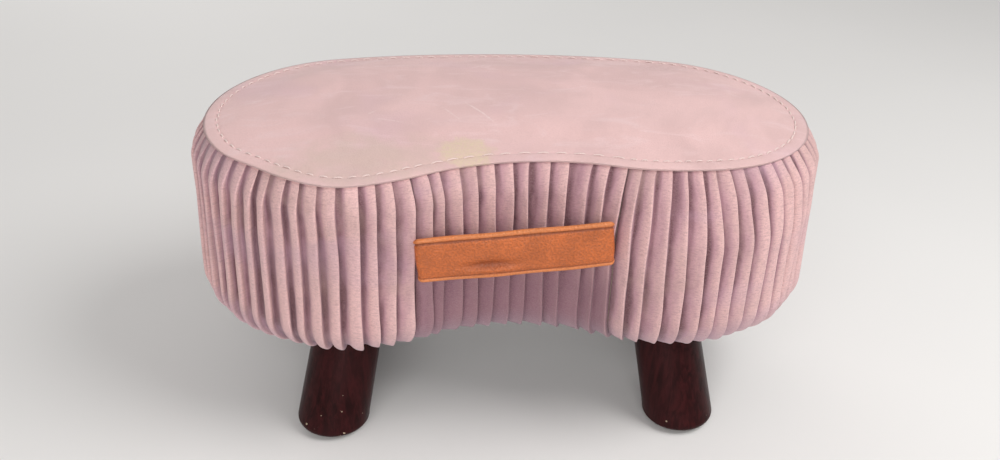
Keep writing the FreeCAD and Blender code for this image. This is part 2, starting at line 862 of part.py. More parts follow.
# Legs: splayed turned feet, each on a hanger bolt that screws into a pronged nut
bolt_rad = size("bolt_rad")
bolt_wood_length = size("bolt_wood_length")
bolt_point = size("bolt_point")
flange_thick = size("flange_thick")
flange_rad = size("flange_rad")
barrel_length = size("barrel_length")
glide_pin_rad = size("glide_pin_rad")
glide_pin_length = size("glide_pin_length")
foot_rad = size("foot_rad")
foot_round = size("foot_round")
foot_heel = foot_round + size("foot_land")
bolt_up = post_z + flange_thick + size("bolt_above_nut") - leg_top_z


def add_bore(body, name, radius, x, y, lift, depth, upward):
    sketch = new_sketch(body, name, "XY_Plane", lift)
    draw_circle(sketch, x, y, radius)
    doc.recompute()
    pocket = body.newObject("PartDesign::Pocket", name + "_pocket")
    pocket.Profile = sketch
    pocket.Reversed = upward
    bind(pocket, "Length", depth)
    sketch.Visibility = False


for name, side, end, deep in LEGS:
    foot_x = size("splay_side") * side
    foot_y = size("splay_end") * end
    leg_x = leg_out * side
    leg_y = deep * end - mid_y

    leg = new_body("leg_" + name)
    heel_sketch = new_sketch(leg, "heel_" + name)
    draw_circle(heel_sketch, foot_x, foot_y, foot_rad)
    heel = add_pad(leg, heel_sketch, foot_heel)
    doc.recompute()
    low_edges = []
    for number, edge in enumerate(heel.Shape.Edges, start=1):
        if edge.BoundBox.ZMax < 1e-6:
            low_edges.append("Edge%d" % number)
    heel_round = leg.newObject("PartDesign::Fillet", "round_" + name)
    heel_round.Base = (heel, low_edges)
    bind(heel_round, "Radius", foot_round)
    foot_sketch = new_sketch(leg, "foot_" + name, "XY_Plane", foot_heel)
    draw_circle(foot_sketch, foot_x, foot_y, foot_rad)
    head_sketch = new_sketch(leg, "head_" + name, "XY_Plane", leg_length)
    draw_circle(head_sketch, 0, 0, leg_top_rad)
    doc.recompute()
    taper = leg.newObject("PartDesign::AdditiveLoft", "taper_" + name)
    taper.Profile = foot_sketch
    taper.Sections = [head_sketch]
    taper.Ruled = True
    foot_sketch.Visibility = False
    head_sketch.Visibility = False
    doc.recompute()
    bolt_deep = bolt_wood_length + fit_gap
    pin_deep = glide_pin_length + fit_gap
    add_bore(leg, "bolt_bore_" + name, bolt_rad + fit_gap, 0, 0, leg_length, bolt_deep, False)
    add_bore(leg, "pin_bore_" + name, glide_pin_rad + fit_gap, foot_x, foot_y, 0, pin_deep, True)
    place(leg, leg_x, leg_y, glide_thick)
    nodes.append(leg)

    bolt = new_body("hanger_bolt_" + name)
    bolt_sketch = new_sketch(bolt, "bolt_profile_" + name, "XZ_Plane")
    bolt_corners = [
        (0, -bolt_wood_length),
        (bolt_rad, bolt_point - bolt_wood_length),
        (bolt_rad, bolt_up),
        (0, bolt_up),
    ]
    draw_polygon(bolt_sketch, bolt_corners)
    add_spin(bolt, bolt_sketch)
    place(bolt, leg_x, leg_y, leg_top_z)
    nodes.append(bolt)

    nut = new_body("tee_nut_" + name)
    nut_sketch = new_sketch(nut, "nut_profile_" + name, "XZ_Plane")
    nut_in = bolt_rad + fit_gap
    nut_corners = [
        (nut_in, -barrel_length),
        (barrel_rad, -barrel_length),
        (barrel_rad, 0),
        (flange_rad, 0),
        (flange_rad, flange_thick),
        (nut_in, flange_thick),
    ]
    draw_polygon(nut_sketch, nut_corners)
    add_spin(nut, nut_sketch)
    prong_sketch = new_sketch(nut, "prongs_" + name)
    prong_half = prong_side / 2 - fit_gap
    for across, along in [(1, 0), (0, 1), (-1, 0), (0, -1)]:
        prong_x = prong_out * across
        prong_y = prong_out * along
        corners = [
            (prong_x - prong_half, prong_y - prong_half),
            (prong_x + prong_half, prong_y - prong_half),
            (prong_x + prong_half, prong_y + prong_half),
            (prong_x - prong_half, prong_y + prong_half),
        ]
        draw_polygon(prong_sketch, corners)
    prongs = add_pad(nut, prong_sketch, prong_length - fit_gap)
    prongs.Reversed = True
    place(nut, leg_x, leg_y, post_z)
    nodes.append(nut)

    glide = new_body("glide_" + name)
    glide_sketch = new_sketch(glide, "glide_profile_" + name, "XZ_Plane")
    glide_corners = [
        (0, 0),
        (size("glide_rad"), 0),
        (size("glide_rad"), glide_thick),
        (glide_pin_rad, glide_thick),
        (glide_pin_rad, glide_thick + glide_pin_length),
        (0, glide_thick + glide_pin_length),
    ]
    draw_polygon(glide_sketch, glide_corners)
    add_spin(glide, glide_sketch)
    place(glide, leg_x + foot_x, leg_y + foot_y, 0)
    nodes.append(glide)

doc.recompute()

# Every object is sound before anything is written
for thing in doc.Objects:
    if "Invalid" in thing.State or "Error" in thing.State:
        raise ValueError("failed: " + thing.Label)
for node in nodes:
    if node.Shape.isNull() or not node.Shape.isValid() or node.Shape.Volume <= 0:
        raise ValueError("bad shape: " + node.Label)
for node in nodes:
    node.Shape.exportStep("parts/%s.step" % node.Label)
    box = node.Shape.BoundBox
    print("%-24s %d solids  X %.1f %.1f  Y %.1f %.1f  Z %.1f %.1f" % (
        node.Label, len(node.Shape.Solids), box.XMin, box.XMax, box.YMin, box.YMax, box.ZMin, box.ZMax))
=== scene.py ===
import math

import bmesh
import bpy
import numpy as np
from bpy.props import FloatProperty, FloatVectorProperty, IntProperty, PointerProperty
from mathutils import Matrix, Vector


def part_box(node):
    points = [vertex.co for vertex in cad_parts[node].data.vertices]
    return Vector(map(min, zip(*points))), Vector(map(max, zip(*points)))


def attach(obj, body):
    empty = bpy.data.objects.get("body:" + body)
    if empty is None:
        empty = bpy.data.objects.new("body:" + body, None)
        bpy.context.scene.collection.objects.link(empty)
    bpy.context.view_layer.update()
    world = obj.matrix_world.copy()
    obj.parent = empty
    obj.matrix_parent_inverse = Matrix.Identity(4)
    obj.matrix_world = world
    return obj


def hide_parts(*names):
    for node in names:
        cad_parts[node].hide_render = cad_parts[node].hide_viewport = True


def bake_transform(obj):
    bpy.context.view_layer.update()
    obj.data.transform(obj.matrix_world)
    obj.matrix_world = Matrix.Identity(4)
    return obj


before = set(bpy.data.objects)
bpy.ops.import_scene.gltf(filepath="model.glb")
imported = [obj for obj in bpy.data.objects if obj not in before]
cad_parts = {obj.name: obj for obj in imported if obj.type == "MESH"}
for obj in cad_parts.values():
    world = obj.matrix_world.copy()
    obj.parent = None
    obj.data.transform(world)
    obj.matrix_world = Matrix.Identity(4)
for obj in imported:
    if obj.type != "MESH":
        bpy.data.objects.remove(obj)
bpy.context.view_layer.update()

bl_info = {
    "name": "Pleated Velvet Footstool",
    "version": (1, 0, 0),
    "blender": (4, 5, 0),
    "location": "View3D > Sidebar > Footstool",
    "description": "Upholstery, strap, finishes and studio for a kidney-shaped footstool",
    "category": "Object",
}

LEG_PLACES = ("front_left", "front_right", "back_left", "back_right")
POST_PLACES = ("front_left", "front_right", "back_left", "back_right", "end_left", "end_right")


def length(name, description, default):
    return FloatProperty(name=name, description=description, default=default, unit="LENGTH", precision=4)


def number(name, description, default, least):
    return IntProperty(name=name, description=description, default=default, min=least)


def colour(name, description, default):
    return FloatVectorProperty(
        name=name, description=description, default=default, subtype="COLOR", min=0.0, max=1.0
    )


class SeatSizes(bpy.types.PropertyGroup):
    """Outline and side profile of the upholstered seat."""

    half_length: length("Half length", "Middle of the seat to its end", 0.222)
    lobe_radius: length("Lobe radius", "Round end in plan", 0.113)
    back_radius: length("Back radius", "Long back curve in plan", 0.740)
    hollow_radius: length("Hollow radius", "Hollow of the front in plan", 0.126)
    hem_height: length("Hem height", "Floor to the underside of the hem", 0.0831)
    under_height: length("Under height", "Where the side starts to roll under", 0.1077)
    under_radius: length("Under radius", "Roll of the lower edge", 0.028)
    hem_turn: length("Hem turn", "Cloth turned in under the seat", 0.022)
    seam_height: length("Seam height", "Floor to the seam of the top panel", 0.2125)
    seam_inset: length("Seam inset", "Seam of the top panel in from the side", 0.010)
    shoulder_drop: length("Shoulder drop", "Height of the rounded shoulder", 0.020)
    board_top: length("Board top", "Floor to the top of the seat board", 0.1775)
    draw_in: length("Draw in", "How much further in the seam is sewn at the right of the front", 0.0175)
    draw_way: length("Draw way", "Where along the front the seam is furthest in", 0.112)
    draw_spread: length("Draw spread", "Reach of the drawn-in stretch to each side", 0.092)
    draw_drop: length("Draw drop", "Height over which the pleats take up the pull", 0.050)
    lobe_draw: length("Lobe draw", "How far the seam is pulled in on the left lobe", 0.003)
    lobe_sag: length("Lobe sag", "How far the seam sags outwards at the left front", 0.0050)
    back_reach: length("Back reach", "How far the seam runs out along the back", 0.0060)


class TopSizes(bpy.types.PropertyGroup):
    """Crowned velvet top panel and its line of stitches."""

    crown_rise: length("Crown rise", "Height of the crown over the seam", 0.008)
    crown_inset: length("Crown inset", "Where the crown is level", 0.084)
    cloth: length("Cloth", "Thickness of the velvet", 0.0012)
    stitch_inset: length("Stitch inset", "Stitch line in from the side", 0.0185)
    stitch_count: number("Stitches", "Stitches round the top", 112, 8)
    puff: length("Puff", "Most that the pad may swell", 0.0025)


class PleatSizes(bpy.types.PropertyGroup):
    """Knife pleats of the two side panels."""

    front_count: number("Front pleats", "Pleats in the hollow", 12, 2)
    wrap_count: number("Wrap pleats", "Pleats round the ends and back", 82, 8)
    left_way: length("Left seam way", "Middle of the front to the left side seam", 0.069)
    right_way: length("Right seam way", "Middle of the front to the right side seam", 0.0645)
    depth: length("Depth", "Ridge to valley of a pleat", 0.0046)
    inner: length("Inner", "Inner face of the cloth, in from the side", 0.0054)
    unevenness: FloatProperty(
        name="Unevenness", description="How far a pleat's width strays", default=0.07, subtype="FACTOR"
    )


class StrapSizes(bpy.types.PropertyGroup):
    """Carrying strap across the hollow front."""

    height: length("Height", "Width of the strap band", 0.033)
    left_span: length("Left span", "Middle of the seat to the left end", 0.0659)
    right_span: length("Right span", "Middle of the seat to the right end", 0.0606)
    tab: length("Tab", "Depth that the ends turn back into the seams", 0.010)
    bend: length("Bend", "Radius of the turned ends", 0.0022)
    front: length("Front", "Distance of the strap's middle plane in front of the seat's middle", 0.1119)
    middle_height: length("Middle height", "Floor to the middle of the strap", 0.165)
    skew: FloatProperty(
        name="Skew", description="Rise towards the right end", default=math.radians(5.5), subtype="ANGLE"
    )


class Colours(bpy.types.PropertyGroup):
    """Colours of the finishes."""

    top_velvet: colour("Top velvet", "Nap of the top panel", (0.735, 0.500, 0.492))
    # Ridge and valley colours: partly wear and unfaded dye, partly painted light on the ridges and painted
    # shade in the valleys
    side_ridge_wear_and_light: colour("Side ridge", "Pleat ridges", (0.830, 0.535, 0.525))
    side_valley_dye_and_shade: colour("Side valley", "Deep in the pleats", (0.450, 0.245, 0.300))
    # Painted shade: nearly black colour for the slits between the pleats
    side_slit_shade: colour("Slits between the pleats", "Deepest folds of the sides", (0.085, 0.027, 0.035))
    stain: colour("Stain", "Old spill by the hollow", (0.700, 0.560, 0.410))
    strap: colour("Strap", "Coated strap", (0.560, 0.132, 0.026))
    thread: colour("Thread", "Top stitches", (0.860, 0.680, 0.650))
    varnish: colour("Varnish", "Dark legs", (0.0240, 0.0036, 0.0040))
    bare_wood: colour("Bare wood", "Chips in the varnish", (0.420, 0.330, 0.240))
    black_cloth: colour("Black cloth", "Cloth under the seat", (0.012, 0.012, 0.013))
    floor: colour("Floor", "Plain studio floor", (0.800, 0.795, 0.790))


class Footstool(bpy.types.PropertyGroup):
    """Everything that a user may change."""

    seat: PointerProperty(name="Seat", description="Seat sizes", type=SeatSizes)
    top: PointerProperty(name="Top", description="Top panel sizes", type=TopSizes)
    pleats: PointerProperty(name="Pleats", description="Pleat sizes", type=PleatSizes)
    strap: PointerProperty(name="Strap", description="Strap sizes", type=StrapSizes)
    colours: PointerProperty(name="Colours", description="Colours", type=Colours)


class Kidney:
    """Plan outline of the seat. way is the distance along it from the middle of the front, to the
    right first. Every point is an arc's centre plus its radius, less the inset, along the turn; the
    hollow arc faces the other way, so there the inset is added."""

    def __init__(self, seat):
        lobe, back, hollow = seat.lobe_radius, seat.back_radius, seat.hollow_radius
        self.lobe_x = seat.half_length - lobe
        back_y = math.sqrt((back - lobe) ** 2 - self.lobe_x**2)
        hollow_y = math.sqrt((hollow + lobe) ** 2 - self.lobe_x**2)
        middle = (back - back_y - lobe) / 2
        self.back_turn = math.atan2(back_y, self.lobe_x)
        self.hollow_turn = math.atan2(hollow_y, self.lobe_x)
        self.front = hollow * (math.pi / 2 - self.hollow_turn)
        self.lobe = lobe * (self.back_turn - self.hollow_turn + math.pi)
        self.back = back * (math.pi - 2 * self.back_turn)
        self.round = 2 * self.front + 2 * self.lobe + self.back
        self.radii = lobe, back, hollow
        self.centres = np.array(
            [[0, -hollow_y], [self.lobe_x, 0], [0, -back_y], [-self.lobe_x, 0]]
        ) - [0, middle]

    def place(self, way):
        """Arc number, turn, radius and side (1 for outward arcs, -1 for the hollow) of each way."""
        lobe, back, hollow = self.radii
        way = (np.asarray(way, float) + self.front) % self.round - self.front
        ends = np.array([self.front, self.front + self.lobe, self.front + self.lobe + self.back])
        arc = np.searchsorted(ends, way, side="left")
        turn = np.choose(
            arc,
            [
                math.pi / 2 - way / hollow,
                self.hollow_turn - math.pi + (way - ends[0]) / lobe,
                self.back_turn + (way - ends[1]) / back,
                math.pi - self.back_turn + (way - ends[2]) / lobe,
            ],
        )
        radius = np.array([hollow, lobe, back, lobe])[arc]
        side = np.where(arc == 0, -1.0, 1.0)
        return arc, turn, radius, side

    def at(self, way, inset):
        """Plan points at these ways and insets, x and y last."""
        arc, turn, radius, side = self.place(way)
        reach = radius - side * np.asarray(inset, float)
        arc, turn, reach = np.broadcast_arrays(arc, turn, reach)
        return self.centres[arc] + reach[..., None] * np.stack([np.cos(turn), np.sin(turn)], -1)

    def deepest(self, way):
        """Inset at which each way meets the spine, halfway between the two sides: for the hollow and
        the back the distance to both arcs is the same there, and a lobe ends at its own centre."""
        lobe, back, hollow = self.radii
        arc, turn, radius, side = self.place(way)
        unit = np.stack([np.cos(turn), np.sin(turn)], -1)
        apart = self.centres[0] - self.centres[2]
        square = apart @ apart
        along = unit @ apart
        from_hollow = (back**2 - square - 2 * hollow * along - hollow**2) / (2 * (along + hollow + back))
        from_back = (square - 2 * back * along + back**2 - hollow**2) / (2 * (hollow + back - along))
        return np.choose(arc, [from_hollow, np.full(way.shape, lobe), from_back, np.full(way.shape, lobe)])

    def ring(self, front_steps, lobe_steps):
        """Ways all round, spaced so that the front and the back share their points on the spine."""
        front = np.linspace(-self.front, self.front, front_steps + 1)
        spine = self.at(front, self.deepest(front))
        towards = spine - self.centres[2]
        turn = np.arctan2(towards[:, 1], towards[:, 0])
        back = self.front + self.lobe + (turn - self.back_turn) * self.radii[1]
        right = np.linspace(self.front, self.front + self.lobe, lobe_steps + 1)
        left = np.linspace(self.front + self.lobe + self.back, self.round - self.front, lobe_steps + 1)
        return np.concatenate([front[:-1], right[:-1], back[::-1][:-1], left[:-1]])


def bell(offset, reach, power=2):
    """1 in the middle, falling away over the reach."""
    return np.exp(-((offset / reach) ** power))


# Where the seam strays on the left lobe, and over what reach, by the way along the outline
LOBE_DRAW_WAY, LOBE_DRAW_SPREAD = -0.188, 0.024
LOBE_SAG_WAY, LOBE_SAG_SPREAD = -0.122, 0.028
BACK_SPREAD = 0.170


def drawn_in(kidney, ways, seat):
    """How far the panel's edge is pulled in past its even inset: a broad bell at the right of the
    hollow, a small one on the left lobe, and the opposite where the seam sags on that lobe and
    along the back."""
    ways = (ways + kidney.round / 2) % kidney.round - kidney.round / 2
    extra = seat.draw_in * bell(ways - seat.draw_way, seat.draw_spread)
    extra += seat.lobe_draw * bell(ways - LOBE_DRAW_WAY, LOBE_DRAW_SPREAD)
    extra -= seat.lobe_sag * bell(ways - LOBE_SAG_WAY, LOBE_SAG_SPREAD)
    return extra - seat.back_reach * bell(np.abs(ways) - kidney.round / 2, BACK_SPREAD, 4)


def pull_at(height, seat):
    """Share of the drawn-in seam that a height below it still takes, none past draw_drop."""
    return 1 - ease((seat.seam_height - np.asarray(height)) / seat.draw_drop)


def ease(share):
    """0 to 1 with level ends."""
    share = np.clip(share, 0, 1)
    return share * share * (3 - 2 * share)


def grid_faces(rows, columns, round_rows=False, round_columns=False):
    """Corner numbers of the quads of a grid, with the last row or column joined to the first."""
    row = np.arange(rows if round_rows else rows - 1)
    column = np.arange(columns if round_columns else columns - 1)
    row, column = (axis.ravel() for axis in np.meshgrid(row, column, indexing="ij"))
    beside = (column + 1) % columns
    row, above = row * columns, (row + 1) % rows * columns
    return np.stack([row + column, row + beside, above + beside, above + column], -1)


def raised(plan, height):
    """Plan points with their heights."""
    return np.concatenate([plan, np.broadcast_to(height, plan.shape[:-1])[..., None]], -1)


def make_piece(name, points, faces, smooth=True, merge=0.0, up=False, **spots):
    """A mesh object of whole arrays. spots are point attributes, one number per point, or three for a
    vector. merge joins points nearer than that, and closes poles and the spine. The faces are turned
    so that a closed mesh holds a positive volume, or, with up, so that an open one faces up."""
    mesh = bpy.data.meshes.new(name)
    mesh.from_pydata(points.reshape(-1, 3).tolist(), [], [list(map(int, face)) for face in faces])
    for key, value in spots.items():
        vector = np.ndim(value) and np.shape(value)[-1] == 3 and np.size(value) == 3 * len(mesh.vertices)
        kind, field = ("FLOAT_VECTOR", "vector") if vector else ("FLOAT", "value")
        mesh.attributes.new(key, kind, "POINT").data.foreach_set(field, np.ravel(value).astype(np.float32))
    work = bmesh.new()
    work.from_mesh(mesh)
    if merge:
        bmesh.ops.remove_doubles(work, verts=work.verts, dist=merge)
        bmesh.ops.dissolve_degenerate(work, edges=work.edges, dist=merge / 2)
    if up:
        facing = sum(face.normal.z * face.calc_area() for face in work.faces)
    else:
        facing = work.calc_volume(signed=True)
    if facing < 0:
        bmesh.ops.reverse_faces(work, faces=work.faces)
    for face in work.faces:
        face.smooth = smooth and len(face.verts) < 5
    work.to_mesh(mesh)
    work.free()
    piece = bpy.data.objects.new(name, mesh)
    bpy.context.scene.collection.objects.link(piece)
    return piece


def round_piece(name, rows, round_rows=False, **options):
    """A piece of rows that run all round the seat."""
    return make_piece(name, rows, grid_faces(*rows.shape[:2], round_rows, True), **options)


def coordinates(mesh):
    points = np.empty(len(mesh.vertices) * 3)
    mesh.vertices.foreach_get("co", points)
    return points.reshape(-1, 3)


def finish_with(piece, material, body="seat", replaced=()):
    """Gives a new piece its finish and its place in the frame."""
    piece.data.materials.clear()
    piece.data.materials.append(material)
    if body:
        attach(piece, body)
    if replaced:
        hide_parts(*replaced)


def thicken(piece, thickness, offset=-1.0):
    wall = piece.modifiers.new("Wall", "SOLIDIFY")
    wall.thickness = thickness
    wall.offset = offset


class Finish:
    """A material as a small tree of nodes; put() adds a node and links or sets its sockets."""

    def __init__(self, name, **shader):
        self.material = bpy.data.materials.new(name)
        self.material.use_nodes = True
        self.tree = self.material.node_tree
        self.shader = self.tree.nodes["Principled BSDF"]
        self.place = self.tree.nodes.new("ShaderNodeTexCoord").outputs["Object"]
        self.set(self.shader, shader)

    def set(self, node, sockets):
        for key, value in sockets.items():
            socket = node.inputs[key if isinstance(key, int) else key.replace("_", " ")]
            if isinstance(value, bpy.types.NodeSocket):
                self.tree.links.new(value, socket)
            elif socket.type == "RGBA" and len(value) == 3:
                socket.default_value = (*value, 1.0)
            else:
                socket.default_value = value
        return node

    def put(self, kind, settings=(), **sockets):
        node = self.tree.nodes.new("ShaderNode" + kind)
        for key, value in dict(settings).items():
            setattr(node, key, value)
        return self.set(node, sockets)

    def noise(self, scale, detail=3.0, roughness=0.55, at=None, distortion=0.0):
        at = self.place if at is None else at
        node = self.put("TexNoise", Vector=at, Scale=scale, Detail=detail, Roughness=roughness)
        node.inputs["Distortion"].default_value = distortion
        return node.outputs["Fac"]

    def grain(self, scale, detail, roughness, at=None, distortion=0.0):
        """Noise with a scale of its own along each axis."""
        at = self.put("Mapping", Vector=self.place if at is None else at, Scale=scale).outputs["Vector"]
        return self.noise(1.0, detail, roughness, at, distortion)

    def band(self, value, low, high, bottom=0.0, top=1.0):
        """Smooth step of a value from low to high, given out between bottom and top."""
        node = self.put("MapRange", {"interpolation_type": "SMOOTHSTEP"}, Value=value)
        names = ["From Min", "From Max", "To Min", "To Max"]
        for key, number in zip(names, [low, high, bottom, top]):
            node.inputs[key].default_value = number
        return node.outputs["Result"]

    def sum(self, kind, first, second):
        node = self.put("Math", {"operation": kind})
        self.set(node, {0: first, 1: second})
        return node.outputs[0]

    def mix(self, share, first, second, kind="MIX"):
        node = self.put("Mix", {"data_type": "RGBA", "blend_type": kind})
        self.set(node, {0: share, 6: first, 7: second})
        return node.outputs[2]

    def between(self, value, low, high, first, second):
        """From the first colour to the second as the value runs from low to high."""
        return self.mix(self.band(value, low, high), first, second)

    def tint(self, tone, value, low, high, most, colour):
        """A tone with up to most of a colour where the value is high."""
        return self.mix(self.band(value, low, high, 0.0, most), tone, colour)

    def look(self, **sockets):
        self.set(self.shader, sockets)
        return self.material

    def waves(self, scale, distortion, detail=2.0, **settings):
        node = self.put("TexWave", settings, Vector=self.place, Scale=scale, Distortion=distortion)
        node.inputs["Detail"].default_value = detail
        return node.outputs["Fac"]

    def mark(self, centre, reach, turn=0.0, edge=(0.7, 1.0), ragged=0.0, scale=150.0):
        """1 inside an ellipse laid on the surface, 0 outside; ragged roughens its edge."""
        node = self.put("Mapping", {"vector_type": "TEXTURE"}, Vector=self.place)
        node.inputs["Location"].default_value = centre
        node.inputs["Rotation"].default_value = (0, 0, turn)
        node.inputs["Scale"].default_value = reach
        far = self.put("VectorMath", {"operation": "LENGTH"}, Vector=node.outputs["Vector"]).outputs["Value"]
        if ragged:
            far = self.sum("ADD", far, self.band(self.noise(scale, 4.0), 0.2, 0.8, -ragged, ragged))
        return self.band(far, edge[0], edge[1], 1.0, 0.0)

    def attribute(self, name, kind="Fac"):
        return self.put("Attribute", {"attribute_name": name}).outputs[kind]

    def bump(self, height, strength, distance, before=None):
        node = self.put("Bump", Height=height, Strength=strength, Distance=distance)
        if before is not None:
            self.set(node, {"Normal": before})
        return node.outputs["Normal"]


def shade(rgb, factor):
    return tuple(min(1.0, channel * factor) for channel in rgb)


def velvet_top_finish(colours):
    """Pale velvet with a blotchy nap, fine fibre grain, an old spill, soiling and pale scratches."""
    finish = Finish("velvet_top", Roughness=0.88, Sheen_Weight=0.35, Sheen_Roughness=0.45)
    finish.look(Sheen_Tint=(1.0, 0.86, 0.86), Specular_IOR_Level=0.2)
    base = colours.top_velvet
    blotch = finish.noise(11, 3.0, 0.6, distortion=0.6)
    tone = finish.between(blotch, 0.34, 0.66, shade(base, 0.90), shade(base, 1.05))
    brushed = finish.grain((26, 70, 20), 3.0, 0.6, distortion=1.2)
    tone = finish.tint(tone, brushed, 0.5, 0.72, 0.45, (0.80, 0.600, 0.610))
    lilac = finish.noise(17, 2.0, 0.5, distortion=0.4)
    tone = finish.tint(tone, lilac, 0.52, 0.75, 0.35, (0.68, 0.455, 0.520))
    soil = finish.mark((-0.105, -0.085, 0.216), (0.075, 0.034, 0.05), 0.25, (0.15, 1.1), 0.35, 60)
    tone = finish.mix(finish.sum("MULTIPLY", soil, 0.60), tone, (0.600, 0.465, 0.400))
    spill = finish.mark((-0.0338, -0.0690, 0.2165), (0.0215, 0.0190, 0.05), 0.3, (0.66, 1.0), 0.16, 130)
    speckle = finish.band(finish.noise(420, 3.0, 0.7), 0.35, 0.65, 0.45, 0.95)
    tone = finish.mix(finish.sum("MULTIPLY", spill, speckle), tone, colours.stain)
    rubbed = finish.mark((-0.2075, 0.0222, 0.2050), (0.009, 0.0045, 0.01), 1.9, (0.4, 1.0), 0.3, 300)
    tone = finish.mix(finish.sum("MULTIPLY", rubbed, 0.55), tone, (0.55, 0.33, 0.12))
    for centre, reach, turn, strength in [
        ((-0.0233, -0.0188, 0.2205), (0.0255, 0.0011, 0.03), -0.9960, 0.55),
        ((-0.0422, -0.0233, 0.2205), (0.0150, 0.0009, 0.03), -1.0460, 0.40),
        ((-0.0834, -0.0356, 0.2205), (0.0134, 0.0009, 0.03), -0.2610, 0.35),
        ((-0.0966, -0.0224, 0.2210), (0.0050, 0.0012, 0.03), 0.9100, 0.45),
        ((-0.0176, 0.0678, 0.2190), (0.0125, 0.0012, 0.03), 0.7400, 0.35),
        ((-0.1803, 0.0034, 0.2180), (0.0095, 0.0035, 0.03), 0.2200, 0.30),
    ]:
        line = finish.mark(centre, reach, turn, (0.2, 1.0), 0.35, 500)
        tone = finish.mix(finish.sum("MULTIPLY", line, strength), tone, (0.86, 0.700, 0.690))
    nap = finish.noise(1000, 3.0, 0.75)
    tone = finish.tint(tone, nap, 0.36, 0.74, 0.24, shade(base, 0.66))
    weave = finish.grain((420, 900, 500), 2.0, 0.5)
    relief = finish.bump(nap, 0.45, 0.0009)
    relief = finish.bump(weave, 0.20, 0.0005, relief)
    return finish.look(Base_Color=tone, Normal=finish.bump(blotch, 0.12, 0.004, relief))


def velvet_side_finish(colours):
    """Mauve velvet: warm and pale on the pleat ridges, partly wear and partly painted light, purple and
    darker in the valleys, partly unfaded dye and partly painted shade, and nearly black in the slits between
    them, which is painted shade; with fine streaks across the pleats, a painted shadow on the stretch under
    the strap and a greyer hem. cloth holds the way and the drop of each point in metres."""
    finish = Finish("velvet_side", Roughness=0.90, Sheen_Weight=0.30, Sheen_Roughness=0.45)
    finish.look(Sheen_Tint=(1.0, 0.86, 0.88), Specular_IOR_Level=0.2)
    cloth = finish.attribute("cloth", "Vector")
    uneven = finish.grain((60, 14, 1), 3.0, 0.6, cloth)
    fold = finish.sum("ADD", finish.attribute("fold"), finish.band(uneven, 0.2, 0.8, -0.22, 0.22))
    # The fold attribute paints the ridges paler and the valleys darker: partly wear and dye, partly painted
    # light and painted shade
    tone = finish.between(fold, 0.10, 0.80, colours.side_valley_dye_and_shade, colours.side_ridge_wear_and_light)
    # Painted shade: the slits between the pleats, where the fold is lowest, go nearly black
    tone = finish.mix(finish.band(fold, -0.05, 0.34, 0.85, 0.0), tone, colours.side_slit_shade)
    warm = finish.grain((22, 20, 1), 3.0, 0.6, cloth, distortion=0.8)
    tone = finish.tint(tone, warm, 0.46, 0.72, 0.40, (0.540, 0.365, 0.330))
    lilac = finish.grain((9, 26, 1), 2.0, 0.5, cloth, distortion=0.5)
    tone = finish.tint(tone, lilac, 0.50, 0.75, 0.42, (0.560, 0.370, 0.480))
    streak = finish.grain((330, 950, 1), 3.0, 0.7, cloth, distortion=0.4)
    tone = finish.tint(tone, streak, 0.42, 0.70, 0.34, shade(colours.side_valley_dye_and_shade, 0.62))
    # Painted shadow under the strap: the front panel darkens from 45 mm down the cloth to 90 mm and below
    parts = finish.put("SeparateXYZ", Vector=cloth).outputs
    way, drop = parts["X"], parts["Y"]
    left, right = finish.band(way, -0.072, -0.060), finish.band(way, 0.060, 0.072, 1.0, 0.0)
    painted_strap_shadow = finish.sum("MULTIPLY", left, right)
    painted_strap_shadow = finish.sum("MULTIPLY", painted_strap_shadow, finish.band(drop, 0.045, 0.090, 0.0, 0.85))
    tone = finish.mix(painted_strap_shadow, tone, (0.235, 0.115, 0.155))
    tone = finish.tint(tone, drop, 0.105, 0.150, 0.45, (0.430, 0.365, 0.470))
    nap = finish.noise(1100, 3.0, 0.75)
    tone = finish.tint(tone, nap, 0.35, 0.72, 0.34, shade(colours.side_ridge_wear_and_light, 0.52))
    relief = finish.bump(nap, 0.55, 0.0012)
    return finish.look(Base_Color=tone, Normal=finish.bump(streak, 0.55, 0.0012, relief))


def strap_finish(colours):
    """Coated tan strap with a pebbled grain, lighter on its rims, with painted shade darkening its grooves
    and its dent.
    """
    finish = Finish("strap_leather", Roughness=0.42, Coat_Weight=0.10, Coat_Roughness=0.35)
    place = finish.place
    pebble = finish.put("TexVoronoi", {"feature": "SMOOTH_F1"}, Vector=place, Scale=800.0).outputs["Distance"]
    cloud = finish.noise(55, 4.0, 0.6)
    tone = finish.between(cloud, 0.3, 0.7, shade(colours.strap, 0.84), shade(colours.strap, 1.10))
    tone = finish.mix(finish.band(pebble, 0.15, 0.75, 0.42, 0.0), tone, shade(colours.strap, 0.42))
    edge = finish.attribute("edge")
    tone = finish.tint(tone, edge, 0.2, 1.0, 0.55, (0.72, 0.255, 0.085))
    # Painted shade: the grooves inside the rims are coloured darker
    groove = finish.attribute("groove")
    tone = finish.tint(tone, groove, 0.1, 1.0, 0.75, (0.20, 0.045, 0.012))
    # Painted shade: the dent is coloured darker, as the shadow in it
    tone = finish.tint(tone, finish.attribute("dent"), 0.05, 0.9, 0.62, (0.210, 0.040, 0.008))
    finish.look(Roughness=finish.band(finish.noise(240, 3.0), 0.3, 0.7, 0.36, 0.56))
    relief = finish.bump(pebble, 0.70, 0.0010)
    return finish.look(Base_Color=tone, Normal=finish.bump(cloud, 0.15, 0.002, relief))


def thread_finish(colours):
    """Pale twisted thread."""
    finish = Finish("pale_thread", Roughness=0.65, Sheen_Weight=0.2)
    twist = finish.waves(420.0, 1.0, bands_direction="DIAGONAL")
    tone = finish.mix(twist, shade(colours.thread, 0.80), colours.thread)
    return finish.look(Base_Color=tone, Normal=finish.bump(twist, 0.4, 0.0003))


